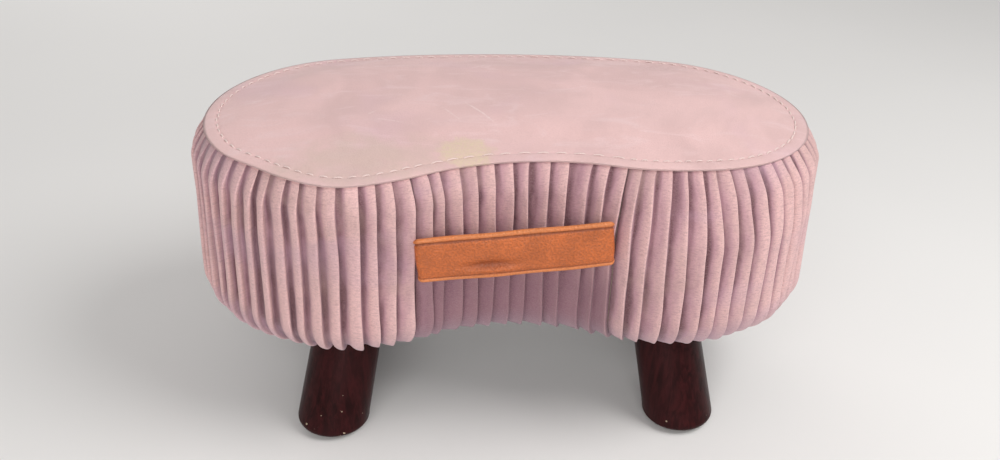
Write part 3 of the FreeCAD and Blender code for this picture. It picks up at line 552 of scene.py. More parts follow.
def varnish_finish(colours):
    """Dark red-brown satin varnish over long grain, with cloudy patches, chips round the feet and pale dust
    low down.
    """
    finish = Finish("dark_varnish", Roughness=0.46, Coat_Weight=0.04, Coat_Roughness=0.25)
    finish.look(Specular_IOR_Level=0.08)
    grain = finish.grain((260, 260, 16), 4.0, 0.65, distortion=0.6)
    cloud = finish.noise(24, 3.0, 0.6)
    tone = finish.between(grain, 0.35, 0.68, shade(colours.varnish, 0.55), shade(colours.varnish, 1.5))
    tone = finish.tint(tone, cloud, 0.35, 0.7, 0.5, (0.042, 0.0085, 0.0095))
    height = finish.put("SeparateXYZ", Vector=finish.place).outputs["Z"]
    low = finish.band(height, 0.004, 0.050, 0.055, -0.015)
    chip = finish.sum("ADD", finish.noise(230, 2.0, 0.5), low)
    tone = finish.between(chip, 0.775, 0.790, tone, colours.bare_wood)
    dust = finish.sum("ADD", finish.noise(620, 2.0, 0.5), finish.band(height, 0.004, 0.022, 0.07, -0.02))
    tone = finish.tint(tone, dust, 0.78, 0.84, 0.6, (0.36, 0.31, 0.27))
    finish.look(Roughness=finish.band(cloud, 0.3, 0.7, 0.28, 0.44))
    relief = finish.bump(grain, 0.10, 0.0005)
    return finish.look(Base_Color=tone, Normal=finish.bump(chip, 0.10, 0.0015, relief))


def black_cloth_finish(colours):
    """Black non-woven cloth: matted fibres with small pressed dots."""
    finish = Finish("black_cloth", Roughness=0.92, Specular_IOR_Level=0.3)
    fibre = finish.grain((700, 260, 300), 5.0, 0.75, distortion=2.0)
    dots = finish.put("TexVoronoi", Vector=finish.place, Scale=520.0).outputs["Distance"]
    tone = finish.mix(fibre, shade(colours.black_cloth, 0.6), shade(colours.black_cloth, 2.4))
    relief = finish.bump(fibre, 0.5, 0.0005)
    return finish.look(Base_Color=tone, Normal=finish.bump(dots, 0.5, 0.0006, relief))


def foam_finish():
    """Cream open-cell foam."""
    finish = Finish("foam", Roughness=0.95, Sheen_Weight=0.15)
    cell = finish.put("TexVoronoi", Vector=finish.place, Scale=900.0).outputs["Distance"]
    cloud = finish.noise(30, 3.0)
    tone = finish.between(cloud, 0.3, 0.7, (0.66, 0.55, 0.34), (0.78, 0.70, 0.48))
    tone = finish.mix(finish.band(cell, 0.1, 0.6, 0.35, 0.0), tone, (0.40, 0.32, 0.18))
    return finish.look(Base_Color=tone, Normal=finish.bump(cell, 0.7, 0.0008))


def plywood_finish():
    """Birch plywood: pale faces with a lazy grain and glued plies on the edges."""
    finish = Finish("plywood", Roughness=0.62)
    grain = finish.grain((14, 160, 14), 4.0, 0.6, distortion=1.6)
    tone = finish.between(grain, 0.3, 0.7, (0.47, 0.30, 0.16), (0.68, 0.49, 0.29))
    plies = finish.waves(210.0, 0.6, bands_direction="Z")
    up = finish.put("SeparateXYZ", Vector=finish.put("NewGeometry").outputs["True Normal"]).outputs["Z"]
    side = finish.band(finish.sum("ABSOLUTE", up, 0.0), 0.2, 0.7, 1.0, 0.0)
    ply_tone = finish.between(plies, 0.35, 0.65, (0.30, 0.17, 0.08), (0.60, 0.42, 0.24))
    tone = finish.mix(side, tone, ply_tone)
    return finish.look(Base_Color=tone, Normal=finish.bump(grain, 0.15, 0.0006))


def pine_finish():
    """Softwood with upright rings and darker late wood."""
    finish = Finish("pine", Roughness=0.66)
    rings = finish.waves(55.0, 5.0, 3.0, wave_type="RINGS", rings_direction="Z")
    tone = finish.mix(rings, (0.52, 0.32, 0.14), (0.74, 0.54, 0.30))
    fine = finish.grain((600, 600, 30), 3.0, 0.6)
    tone = finish.tint(tone, fine, 0.4, 0.7, 0.3, (0.40, 0.23, 0.10))
    return finish.look(Base_Color=tone, Normal=finish.bump(fine, 0.2, 0.0005))


def hardboard_finish():
    """Brown pressed fibre board."""
    finish = Finish("hardboard", Roughness=0.55)
    fibre = finish.noise(420, 4.0, 0.7, distortion=1.0)
    tone = finish.between(fibre, 0.3, 0.7, (0.155, 0.080, 0.038), (0.270, 0.150, 0.075))
    return finish.look(Base_Color=tone, Normal=finish.bump(fibre, 0.3, 0.0004))


def steel_finish():
    """Zinc-plated steel with faint spangle."""
    finish = Finish("zinc_steel", Metallic=1.0)
    spangle = finish.noise(380, 3.0, 0.6)
    tone = finish.between(spangle, 0.35, 0.65, (0.44, 0.45, 0.46), (0.66, 0.66, 0.65))
    finish.look(Roughness=finish.band(spangle, 0.3, 0.7, 0.26, 0.42))
    return finish.look(Base_Color=tone, Normal=finish.bump(spangle, 0.08, 0.0003))


def felt_finish():
    """Grey-brown felt glide with loose fibres."""
    finish = Finish("glide_felt", Roughness=0.96, Sheen_Weight=0.3)
    fibre = finish.grain((900, 900, 400), 5.0, 0.8, distortion=2.5)
    tone = finish.between(fibre, 0.3, 0.7, (0.085, 0.062, 0.050), (0.190, 0.150, 0.125))
    return finish.look(Base_Color=tone, Normal=finish.bump(fibre, 0.8, 0.0008))


def crown(inset, top, seat):
    """Height over the seam: rises with the inset along a half parabola, level past crown_inset."""
    share = np.clip((inset - seat.seam_inset) / (top.crown_inset - seat.seam_inset), 0, 1)
    return top.crown_rise * (1 - (1 - share) ** 2)


def kidney_rows(kidney, ways, insets, heights, closing_steps=0, crown_of=None, extra=0.0, pull=None):
    """Rows round the outline, one for each inset and height, then closing_steps rows that run on to
    the spine; crown_of gives the height of each inner point from its inset. extra moves a row's
    points further in, way by way, as far as pull says for that row."""
    insets, heights = np.asarray(insets, float)[:, None], np.asarray(heights, float)[:, None]
    pull = np.ones(len(insets)) if pull is None else np.asarray(pull, float)
    plan = kidney.at(ways[None], insets + pull[:, None] * extra)
    rows = raised(plan, heights)
    if not closing_steps:
        return rows
    share = np.linspace(0, 1, closing_steps + 1)[1:, None]
    base = insets[-1] + (kidney.deepest(ways)[None] - insets[-1]) * share
    closing = kidney.at(ways[None], base + extra * (1 - share) * pull[-1])
    return np.concatenate([rows, raised(closing, heights[-1] if crown_of is None else crown_of(base))])


SPINE_MERGE = 2e-5
EVEN_MESH = 0.006
SWELL_FRAMES = 20
LAYER_GAP = 0.0003
PAD_EDGE_DROP, PAD_CROWN_DROP = 0.0030, 0.0042
SIDE_PAD_INSIDE = 0.0303
CLOSING_ROWS = 14


def swollen_pad(pad, cap):
    """Cloth simulation of a padded form: the mesh is remeshed evenly and blown up a little with no
    gravity, and no point may move further than cap."""
    remesh = pad.modifiers.new("Even mesh", "REMESH")
    remesh.mode = "VOXEL"
    remesh.voxel_size = EVEN_MESH
    bpy.context.view_layer.objects.active = pad
    bpy.ops.object.modifier_apply(modifier=remesh.name)
    start = coordinates(pad.data)
    cloth = pad.modifiers.new("Swell", "CLOTH")
    cloth.settings.use_pressure = True
    cloth.settings.uniform_pressure_force = 4.0
    cloth.settings.effector_weights.gravity = 0.0
    cloth.settings.quality = 5
    scene = bpy.context.scene
    scene.frame_start = 1
    for step in range(1, SWELL_FRAMES + 1):
        scene.frame_set(step)
    bpy.ops.object.modifier_apply(modifier=cloth.name)
    scene.frame_set(1)
    moved = coordinates(pad.data) - start
    far = np.linalg.norm(moved, axis=1, keepdims=True)
    end = start + moved * np.minimum(1.0, cap / np.maximum(far, 1e-9))
    pad.data.vertices.foreach_set("co", end.ravel())
    pad.data.update()


class FOOTSTOOL_OT_padding(bpy.types.Operator):
    """Foam under the velvet: a crowned seat pad and a side wrap with a rolled lower edge"""

    bl_idname = "footstool.padding"
    bl_label = "Padding"

    def execute(self, context):
        maker = context.scene.footstool
        kidney, foam = Kidney(maker.seat), foam_finish()
        ways = kidney.ring(24, 60)
        inner, extra = maker.pleats.inner + LAYER_GAP, drawn_in(kidney, ways, maker.seat)
        self.seat_pad(maker, kidney, ways, inner, extra, foam)
        self.side_pad(maker.seat, kidney, ways, inner, extra, foam)
        return {"FINISHED"}

    def seat_pad(self, maker, kidney, ways, inner, extra, foam):
        """A flat floor, a rounded shoulder inside the pleats and a crown under the top panel."""
        seat, top = maker.seat, maker.top
        turn = np.linspace(math.pi / 2, 0, 7)
        insets = seat.seam_inset * (1 - np.sin(turn)) + inner
        heights = seat.seam_height - seat.shoulder_drop * turn / (math.pi / 2) - inner * np.cos(turn)
        upper = kidney_rows(
            kidney,
            ways,
            np.append(insets, seat.seam_inset + inner + 0.004),
            np.append(heights, seat.seam_height - PAD_EDGE_DROP),
            CLOSING_ROWS,
            lambda inset: seat.seam_height - PAD_CROWN_DROP + crown(inset, top, seat),
            extra,
            pull_at(np.append(heights, seat.seam_height), seat),
        )
        floor = seat.board_top + LAYER_GAP
        floor_pull = [pull_at(floor, seat)]
        lower = kidney_rows(kidney, ways, [inner], [floor], CLOSING_ROWS, None, extra, floor_pull)
        pad = np.concatenate([lower[::-1], upper])
        piece = round_piece("seat_pad", pad, merge=SPINE_MERGE)
        swollen_pad(piece, top.puff * 0.2)
        finish_with(piece, foam, replaced=["seat_foam"])

    def side_pad(self, seat, kidney, ways, inner, extra, foam):
        """Down the outer face, round the rolled lower edge and back up against the band."""
        radius = seat.under_radius - inner
        loop = [(inner, level) for level in (seat.board_top, 0.170, 0.150, 0.125, seat.under_height)]
        loop += [
            (seat.under_radius - radius * math.cos(angle), seat.under_height - radius * math.sin(angle))
            for angle in np.linspace(0, math.pi / 2, 8)[1:]
        ]
        back_up = loop[-1][1] + 0.001, 0.125, 0.150, seat.board_top
        loop += [(SIDE_PAD_INSIDE, level) for level in back_up]
        insets, heights = (np.array(part) for part in zip(*loop))
        pull = pull_at(heights, seat) * (insets < SIDE_PAD_INSIDE)
        rows = kidney_rows(kidney, ways, insets, heights, extra=extra * 1.02, pull=pull)
        wall_low, wall_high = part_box("side_foam")
        rows[..., 2] = np.clip(rows[..., 2], wall_low[2], wall_high[2])
        wrap = round_piece("side_pad", rows, round_rows=True)
        finish_with(wrap, foam, replaced=["side_foam"])


# Points from the seam to the stitch line and past it: inset and height, then inset alone
PANEL_RIM = np.array([[9, -8], [2, -5], [-1, -1], [1, 3], [6, 5], [14, 7]]) * 1e-4
STITCH_STEPS = np.array([-95, -75, -55, -37, -22, -10, -4, 0, 4, 10, 20, 35, 55, 80, 110]) * 1e-4
PANEL_CLOSING_ROWS = 22
PANEL_LIFT = 0.0007


def panel_height(inset, top, seat):
    """Upper side of the top panel."""
    return seat.seam_height + PANEL_LIFT + crown(inset, top, seat)


class FOOTSTOOL_OT_top_panel(bpy.types.Operator):
    """Crowned velvet top panel, rolled into the seam, drawn in along its stitch line"""

    bl_idname = "footstool.top_panel"
    bl_label = "Top panel"

    def execute(self, context):
        maker = context.scene.footstool
        seat, top = maker.seat, maker.top
        kidney = Kidney(seat)
        ways = kidney.ring(110, 230)
        rim = PANEL_RIM + [seat.seam_inset, 0]
        steps = top.stitch_inset + STITCH_STEPS
        insets = np.append(rim[:, 0], steps)
        rows = kidney_rows(
            kidney,
            ways,
            insets,
            np.append(seat.seam_height + rim[:, 1], panel_height(steps, top, seat)),
            PANEL_CLOSING_ROWS,
            lambda inset: panel_height(inset, top, seat),
            drawn_in(kidney, ways, seat),
        )
        pucker = 0.6 + 0.4 * np.cos(2 * math.pi * top.stitch_count * ways / kidney.round)
        groove = bell(insets - top.stitch_inset, 0.0012)
        border = (insets - seat.seam_inset) / (top.stitch_inset - seat.seam_inset)
        level = rows[: len(insets), :, 2]
        level -= 0.0005 * groove[:, None] * pucker
        level += 0.0006 * np.clip(4 * border * (1 - border), 0, 1)[:, None] ** 0.7
        x, y = rows[..., 0], rows[..., 1]
        wave = np.sin(31 * x + 1.3) * np.cos(43 * y + 0.4) + 0.6 * np.sin(67 * x - 52 * y)
        wave += 0.4 * np.cos(95 * x + 71 * y + 1.1)
        inside = np.append(insets, np.full(PANEL_CLOSING_ROWS, 0.09)) - seat.seam_inset - 0.004
        rows[..., 2] += 0.0006 * wave * ease(inside / 0.02)[:, None]
        piece = round_piece("top_panel", rows, merge=SPINE_MERGE, up=True)
        self.swell(piece, kidney, maker)
        thicken(piece, top.cloth)
        finish_with(piece, velvet_top_finish(maker.colours), replaced=["top_cover"])
        return {"FINISHED"}

    def swell(self, piece, kidney, maker):
        """A cloth simulation blows up a pad of the panel's shape; the panel is drawn onto the result
        and takes up to its cap of the swelling, none of it at the seam and along the stitches."""
        seat, top = maker.seat, maker.top
        ways = kidney.ring(24, 60)
        edge, seam = [seat.seam_inset], seat.seam_height
        extra = drawn_in(kidney, ways, seat)
        upper = kidney_rows(
            kidney, ways, edge, [seam], 16, lambda inset: panel_height(inset, top, seat), extra
        )
        lower = kidney_rows(kidney, ways, edge, [seam - 0.028], 16, None, extra)
        pad = np.concatenate([lower[::-1], upper])
        form = round_piece("swell_form", pad, merge=SPINE_MERGE)
        swollen_pad(form, top.puff * 2.5)
        copy = bpy.data.objects.new("swell_copy", piece.data.copy())
        bpy.context.scene.collection.objects.link(copy)
        draw = copy.modifiers.new("Draw", "SHRINKWRAP")
        draw.target = form
        draw.wrap_method = "PROJECT"
        draw.use_project_x = draw.use_project_y = False
        draw.use_project_z = True
        draw.use_positive_direction = draw.use_negative_direction = True
        draw.project_limit = 0.02
        evaluated = copy.evaluated_get(context_graph())
        target = coordinates(evaluated.data)
        start = coordinates(piece.data)
        rise = target[:, 2] - start[:, 2]
        from_spine = np.hypot(np.maximum(np.abs(start[:, 0]) - kidney.lobe_x, 0), start[:, 1] - 0.008)
        share = ease((0.082 - from_spine) / 0.03)
        rise = np.clip(rise - np.median(rise[share > 0.9]) * 0.6, -0.3 * top.puff, top.puff) * share
        start[:, 2] += rise
        piece.data.vertices.foreach_set("co", start.ravel())
        piece.data.update()
        bpy.data.objects.remove(copy)
        bpy.data.objects.remove(form)


def context_graph():
    bpy.context.view_layer.update()
    return bpy.context.evaluated_depsgraph_get()


def drop_onto(points, piece):
    """Heights of a piece's upper side under each plan point, by rays from above."""
    graph = context_graph()
    evaluated = piece.evaluated_get(graph)
    hits = [evaluated.ray_cast((x, y, 0.5), (0, 0, -1)) for x, y in points]
    return np.array([hit[1][2] for hit in hits])


class FOOTSTOOL_OT_top_stitches(bpy.types.Operator):
    """Line of pale stitches just inside the seam, each a little arch of thread"""

    bl_idname = "footstool.top_stitches"
    bl_label = "Top stitches"

    def execute(self, context):
        maker = context.scene.footstool
        seat, top = maker.seat, maker.top
        kidney = Kidney(seat)
        rng = np.random.default_rng(11)
        count = top.stitch_count
        start = kidney.round * (np.arange(count) + rng.normal(0, 0.03, count)) / count
        span = kidney.round / count * rng.uniform(0.62, 0.78, count)
        share = np.array([0.0, 0.06, 0.2, 0.5, 0.8, 0.94, 1.0])
        radius = np.array([0.0002, 0.8, 1.0, 1.0, 1.0, 0.8, 0.0002]) * 0.00050
        arch = np.array([-0.0004, -0.0001, 0.0003, 0.0005, 0.0003, -0.0001, -0.0004])
        way = start[:, None] + span[:, None] * share
        inset = top.stitch_inset + drawn_in(kidney, way, seat) + rng.normal(0, 0.0002, (count, 1))
        centre = kidney.at(way, inset)
        panel = bpy.data.objects["top_panel"]
        level = drop_onto(centre.reshape(-1, 2), panel).reshape(count, len(share))
        ahead = np.gradient(centre, axis=1)
        ahead /= np.linalg.norm(ahead, axis=-1, keepdims=True)
        across = np.stack([-ahead[..., 1], ahead[..., 0]], -1)
        turn = np.arange(6) * math.pi / 3
        aside = (across[:, :, None] * (np.cos(turn) * 1.2)[:, None]) * radius[None, :, None, None]
        ring_z = (level + arch)[:, :, None] + np.sin(turn) * radius[None, :, None] + 0.00015
        points = raised(centre[:, :, None] + aside, ring_z)
        one = grid_faces(len(share), 6, round_columns=True)
        faces = (one[None] + (np.arange(count) * len(share) * 6)[:, None, None]).reshape(-1, 4)
        piece = make_piece("top_stitches", points, faces, merge=1.5e-6)
        finish_with(piece, thread_finish(maker.colours), replaced=["top_stitching"])
        return {"FINISHED"}


WIDE_FOLD = np.array([
    (0.00, 0.00), (0.12, 0.03), (0.22, 0.12), (0.32, 0.34), (0.42, 0.60), (0.54, 0.80), (0.68, 0.93),
    (0.80, 0.99), (0.88, 1.00), (0.93, 0.95), (0.955, 0.80), (0.945, 0.58), (0.925, 0.36), (0.955, 0.10),
])
FLAT_FOLD = np.array([
    (0.00, 0.00), (0.10, 0.08), (0.20, 0.20), (0.32, 0.34), (0.45, 0.48), (0.58, 0.60), (0.70, 0.73),
    (0.79, 0.88), (0.86, 0.98), (0.91, 1.00), (0.945, 0.90), (0.95, 0.64), (0.94, 0.36), (0.965, 0.08),
])


def side_profile(seat, shoulder_steps=14, side_steps=24, roll_steps=13, flat_steps=5):
    """From the seam down: a rounded shoulder, an upright side, a quarter roll and the flat hem.
    Gives inset, height, outward normal, the drop along the cloth, and how far the drawn-in seam
    pulls each level."""
    turn = math.pi / 2 * np.linspace(0, 1, shoulder_steps) ** 1.6
    roll = np.linspace(0, math.pi / 2, roll_steps)
    shoulder = [
        seat.seam_inset * (1 - np.sin(turn)),
        seat.seam_height - seat.shoulder_drop * turn * 2 / math.pi,
    ]
    side_z = np.linspace(seat.seam_height - seat.shoulder_drop, seat.under_height, side_steps + 2)[1:-1]
    under = [seat.under_radius * (1 - np.cos(roll)), seat.under_height - seat.under_radius * np.sin(roll)]
    flat = np.linspace(seat.under_radius, seat.under_radius + seat.hem_turn, flat_steps + 1)[1:]
    inset = np.concatenate([shoulder[0], np.zeros(side_steps), under[0], flat])
    height = np.concatenate([shoulder[1], side_z, under[1], np.full(flat_steps, under[1][-1])])
    out, rise = -np.gradient(inset), np.gradient(height)
    size = np.hypot(out, rise)
    normal_out, normal_up = -rise / size, out / size
    drop = np.append(0, np.cumsum(np.hypot(np.diff(inset), np.diff(height))))
    pull = pull_at(height, seat)
    return inset, height, normal_out, normal_up, drop, pull


# Waves down a pleat, then its kinks by way, size and reach along the outline
SWAY_SIZES = (0.00042, 0.00018, 0.00009)
KINKS = ((0.0775, 0.0034, 0.0045), (0.0900, 0.0012, 0.0050))
HEM_FADE = 0.034
INNER_LEVELS = 22


def pleat_sway(middle, away, left, down, phase):
    """How far each pleat leans along the outline, level by level: three waves, stronger at the right
    of the strap, and a kink in the pleats there."""
    sway = sum(
        size * np.sin((k + 1) * 2.4 * math.pi * down[:, None] + phase[k][None])
        for k, size in enumerate(SWAY_SIZES)
    )
    sway *= np.where(left, 1.0, 1 + 0.8 * bell(away - 0.09, 0.04))[None]
    kink = sum(size * bell(middle - way, reach) for way, size, reach in KINKS)
    return sway - bell(down - 0.42, 0.20)[:, None] * kink[None]


def pleat_levels(seat, pleats, drop, lowest):
    """Level by level: how much of a pleat is not yet pressed flat under the seat, how deep its valley
    lies, how proud its ridge stands and the fine crease along the seam."""
    from_hem = drop - drop[-1] + seat.hem_turn
    near_hem = ease((from_hem + HEM_FADE) / HEM_FADE)
    depth = pleats.depth * (0.14 + 0.86 * ease(drop / 0.030) - 0.55 * near_hem)
    press = 1 - ease(from_hem / 0.006)
    pressed = pleats.depth * press + (seat.hem_height - lowest) * (1 - press)
    valley = np.where(press < 1, pressed, depth)
    proud = 0.0006 * ease(drop / 0.02) * press
    crease = 0.0003 * bell(drop, 0.0012)
    return (level[:, None] for level in (press, valley, proud, crease))


def pleated_panel(name, maker, start, end, count, seed):
    """Knife-pleated cloth between two ways. A column is a point of one pleat's cross-section, at the
    share a of its width and the height h between valley and ridge; the ridge overhangs the next
    valley. A row is a level of the side profile, pressed in by depth x (1 - h). The inner face
    closes the loop of every column, and the two ends are capped."""
    seat, pleats = maker.seat, maker.pleats
    kidney = Kidney(seat)
    rng = np.random.default_rng(seed)
    inset, height, normal_out, normal_up, drop, pull = side_profile(seat)
    levels, down = len(inset), drop / drop[-1]
    pitch = (end - start) / count
    joints = start + pitch * np.arange(count + 1)
    joints[1:-1] += rng.normal(0, pleats.unevenness * pitch, count - 1).clip(-0.16 * pitch, 0.16 * pitch)
    middle = (joints[:-1] + joints[1:]) / 2
    away = np.abs((middle + kidney.round / 2) % kidney.round - kidney.round / 2)
    left = (middle % kidney.round) > kidney.round / 2
    wide = np.where(left, ease((away - 0.075) / 0.04), ease((away - 0.12) / 0.12))
    fold = FLAT_FOLD[None] * (1 - wide[:, None, None]) + WIDE_FOLD[None] * wide[:, None, None]
    across, rise = fold[..., 0], fold[..., 1]
    strength = (0.72 + 0.28 * wide) * rng.uniform(0.88, 1.12, count)
    phase = rng.uniform(0, 2 * math.pi, (3, count))
    sway = pleat_sway(middle, away, left, down, phase) * ease(drop / 0.004)[:, None]
    swell = 1 + 0.10 * np.sin(2 * math.pi * (1.3 * down[:, None] + phase[0][None] / 5))
    ways = joints[:-1, None] + np.diff(joints)[:, None] * across
    ways = ways[None] + sway[:, :, None] * ease(rise * 1.6 + 0.1)[None]
    lift = np.broadcast_to(rise[None], ways.shape) * strength[None, :, None] * swell[:, :, None]
    ways = np.concatenate([ways.reshape(levels, -1), np.full((levels, 1), end)], 1)
    lift = np.concatenate([lift.reshape(levels, -1), np.zeros((levels, 1))], 1)
    press, valley, proud, crease = pleat_levels(seat, pleats, drop, height[-1])
    lift = lift * press
    push = -valley * (1 - lift) - crease + proud * lift
    extra = drawn_in(kidney, ways, seat) * pull[:, None]
    plan = kidney.at(ways, inset[:, None] + extra - normal_out[:, None] * push)
    outer = raised(plan, height[:, None] + normal_up[:, None] * push)
    back_in = inset + normal_out * pleats.inner
    back_up = height - normal_up * pleats.inner
    back_in[-4:], back_up[-4:] = inset[-4:], seat.hem_height + 0.0012
    pick = np.unique(np.linspace(0, levels - 1, INNER_LEVELS).astype(int))[::-1]
    flat_ways = np.linspace(start, end, ways.shape[1])
    sunk = back_in[pick, None] + drawn_in(kidney, flat_ways, seat) * pull[pick, None]
    rows = np.concatenate([outer, raised(kidney.at(flat_ways[None], sunk), back_up[pick, None])])
    count_rows, columns = rows.shape[:2]
    faces = [list(face) for face in grid_faces(count_rows, columns, round_rows=True)]
    faces.append([row * columns for row in range(count_rows)])
    faces.append([row * columns + columns - 1 for row in reversed(range(count_rows))])
    # The fold attribute colours the side velvet: paler ridges and darker valleys, partly painted light and
    # painted shade, and nearly black slits, which are painted shade
    ridge = np.concatenate([lift, np.zeros((len(pick), columns))])
    way = np.concatenate([ways, np.broadcast_to(flat_ways, (len(pick), columns))])
    run = np.broadcast_to(np.concatenate([drop, drop[pick]])[:, None], ridge.shape)
    cloth = np.stack([way, run, np.zeros(ridge.shape)], -1)
    return make_piece(name, rows, faces, fold=ridge, cloth=cloth)


class FOOTSTOOL_OT_pleated_sides(bpy.types.Operator):
    """Two pleated side panels, the short one across the hollow and the long one round the rest"""

    bl_idname = "footstool.pleated_sides"
    bl_label = "Pleated sides"

    def execute(self, context):
        maker = context.scene.footstool
        kidney = Kidney(maker.seat)
        pleats = maker.pleats
        finish = velvet_side_finish(maker.colours)
        gap = 0.0002
        front_ends = -pleats.left_way + gap, pleats.right_way - gap
        rest_ends = pleats.right_way + gap, kidney.round - pleats.left_way - gap
        front = pleated_panel("pleats_front", maker, *front_ends, pleats.front_count, 3)
        rest = pleated_panel("pleats_wrap", maker, *rest_ends, pleats.wrap_count, 5)
        for piece, node in ((front, "side_pleats_front"), (rest, "side_pleats_wrap")):
            finish_with(piece, finish, replaced=[node])
        return {"FINISHED"}


COVER_INSETS = np.array([0.036, 0.0375, 0.039, 0.041, 0.044, 0.048, 0.052, 0.056, 0.060])
NUT_OPENING = 0.0081


class FOOTSTOOL_OT_dust_cover(bpy.types.Operator):
    """Black cloth stapled flat under the seat, slack between its staples, open round the leg nuts"""

    bl_idname = "footstool.dust_cover"
    bl_label = "Dust cover"

    def execute(self, context):
        maker = context.scene.footstool
        kidney = Kidney(maker.seat)
        ways = kidney.ring(60, 150)
        low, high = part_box("dust_cover")
        rows = kidney_rows(kidney, ways, COVER_INSETS, np.full(len(COVER_INSETS), high[2]), 26)
        centres = np.array([np.sum(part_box("tee_nut_" + place), axis=0)[:2] / 2 for place in LEG_PLACES])
        gap = rows[:, :, None, :2] - centres
        far = np.linalg.norm(gap, axis=-1)
        near = far.min(-1)
        from_edge = np.linspace(0, 1, len(rows))[:, None]
        slack = ease((near - 0.030) / 0.025) * ease((from_edge - 0.18) / 0.25)
        pucker = 0.0005 * np.cos(ways * 2 * math.pi * 28 / kidney.round)[None] * np.exp(-from_edge / 0.22)
        x, y = rows[..., 0], rows[..., 1]
        ripple = 0.0006 * np.sin(60 * x + 14 * y) * np.cos(38 * y - 9 * x + 0.7)
        rows[..., 2] -= (0.0022 + ripple) * slack + np.maximum(pucker, 0) * ease((near - 0.03) / 0.01)
        faces = grid_faces(len(rows), len(ways), round_columns=True)
        near = near.reshape(-1)
        faces = faces[(near[faces] > NUT_OPENING).any(1)]
        flat = rows.reshape(-1, 3)
        every, pick = np.arange(len(flat)), far.reshape(len(flat), -1).argmin(1)
        unit = gap.reshape(len(flat), -1, 2)[every, pick] / np.maximum(near, 1e-9)[:, None]
        inside = near < NUT_OPENING
        flat[inside, :2] = centres[pick[inside]] + unit[inside] * NUT_OPENING
        piece = make_piece("dust_sheet", flat, faces, merge=SPINE_MERGE, up=True)
        self.drop_loose(piece)
        thicken(piece, high[2] - low[2])
        finish_with(piece, black_cloth_finish(maker.colours), replaced=["dust_cover"])
        return {"FINISHED"}

    def drop_loose(self, piece):
        """Removes points that no face uses."""
        work = bmesh.new()
        work.from_mesh(piece.data)
        bmesh.ops.delete(work, geom=[vert for vert in work.verts if not vert.link_faces], context="VERTS")
        work.to_mesh(piece.data)
        work.free()


# rim share also lightens the strap's rims, and groove share paints shade into its grooves, in strap_finish
STRAP_SECTION = np.array([
    # height, outward, rim share, groove share
    (-0.0124, -0.0013, 0, 0), (-0.006, -0.00138, 0, 0), (0.0, -0.0014, 0, 0), (0.006, -0.00138, 0, 0),
    (0.0118, -0.0013, 0, 0), (0.013, -0.00128, 0.1, 0), (0.0142, -0.00155, 0.4, 0),
    (0.0154, -0.0013, 0.8, 0), (0.01625, -0.0004, 1, 0), (0.01645, 0.0006, 1, 0), (0.016, 0.00145, 1, 0),
    (0.0151, 0.00195, 1, 0), (0.0141, 0.00185, 0.8, 0.1), (0.0133, 0.00135, 0.3, 0.6),
    (0.0128, 0.0008, 0, 1), (0.0123, 0.00075, 0, 1), (0.0118, 0.00115, 0, 0.7), (0.0112, 0.0014, 0, 0.1),
    (0.01, 0.0015, 0, 0), (0.008, 0.00154, 0, 0), (0.006, 0.00158, 0, 0), (0.004, 0.0016, 0, 0),
    (0.002, 0.0016, 0, 0), (0.0, 0.0016, 0, 0), (-0.002, 0.0016, 0, 0), (-0.004, 0.0016, 0, 0),
    (-0.0055, 0.00158, 0, 0), (-0.007, 0.00156, 0, 0), (-0.0085, 0.00154, 0, 0), (-0.01, 0.0015, 0, 0),
    (-0.0113, 0.00146, 0, 0), (-0.0124, 0.00135, 0, 0.1), (-0.0131, 0.0011, 0, 0.6),
    (-0.0136, 0.00095, 0.2, 0.8), (-0.0141, 0.0012, 0.8, 0.2), (-0.0148, 0.00155, 1, 0),
    (-0.0156, 0.00145, 1, 0), (-0.0162, 0.0008, 1, 0), (-0.0164, 0.00, 1, 0), (-0.016, -0.0008, 0.8, 0),
    (-0.015, -0.00125, 0.4, 0), (-0.0138, -0.0013, 0.1, 0),
])
DENT_DEPTH = 0.0026


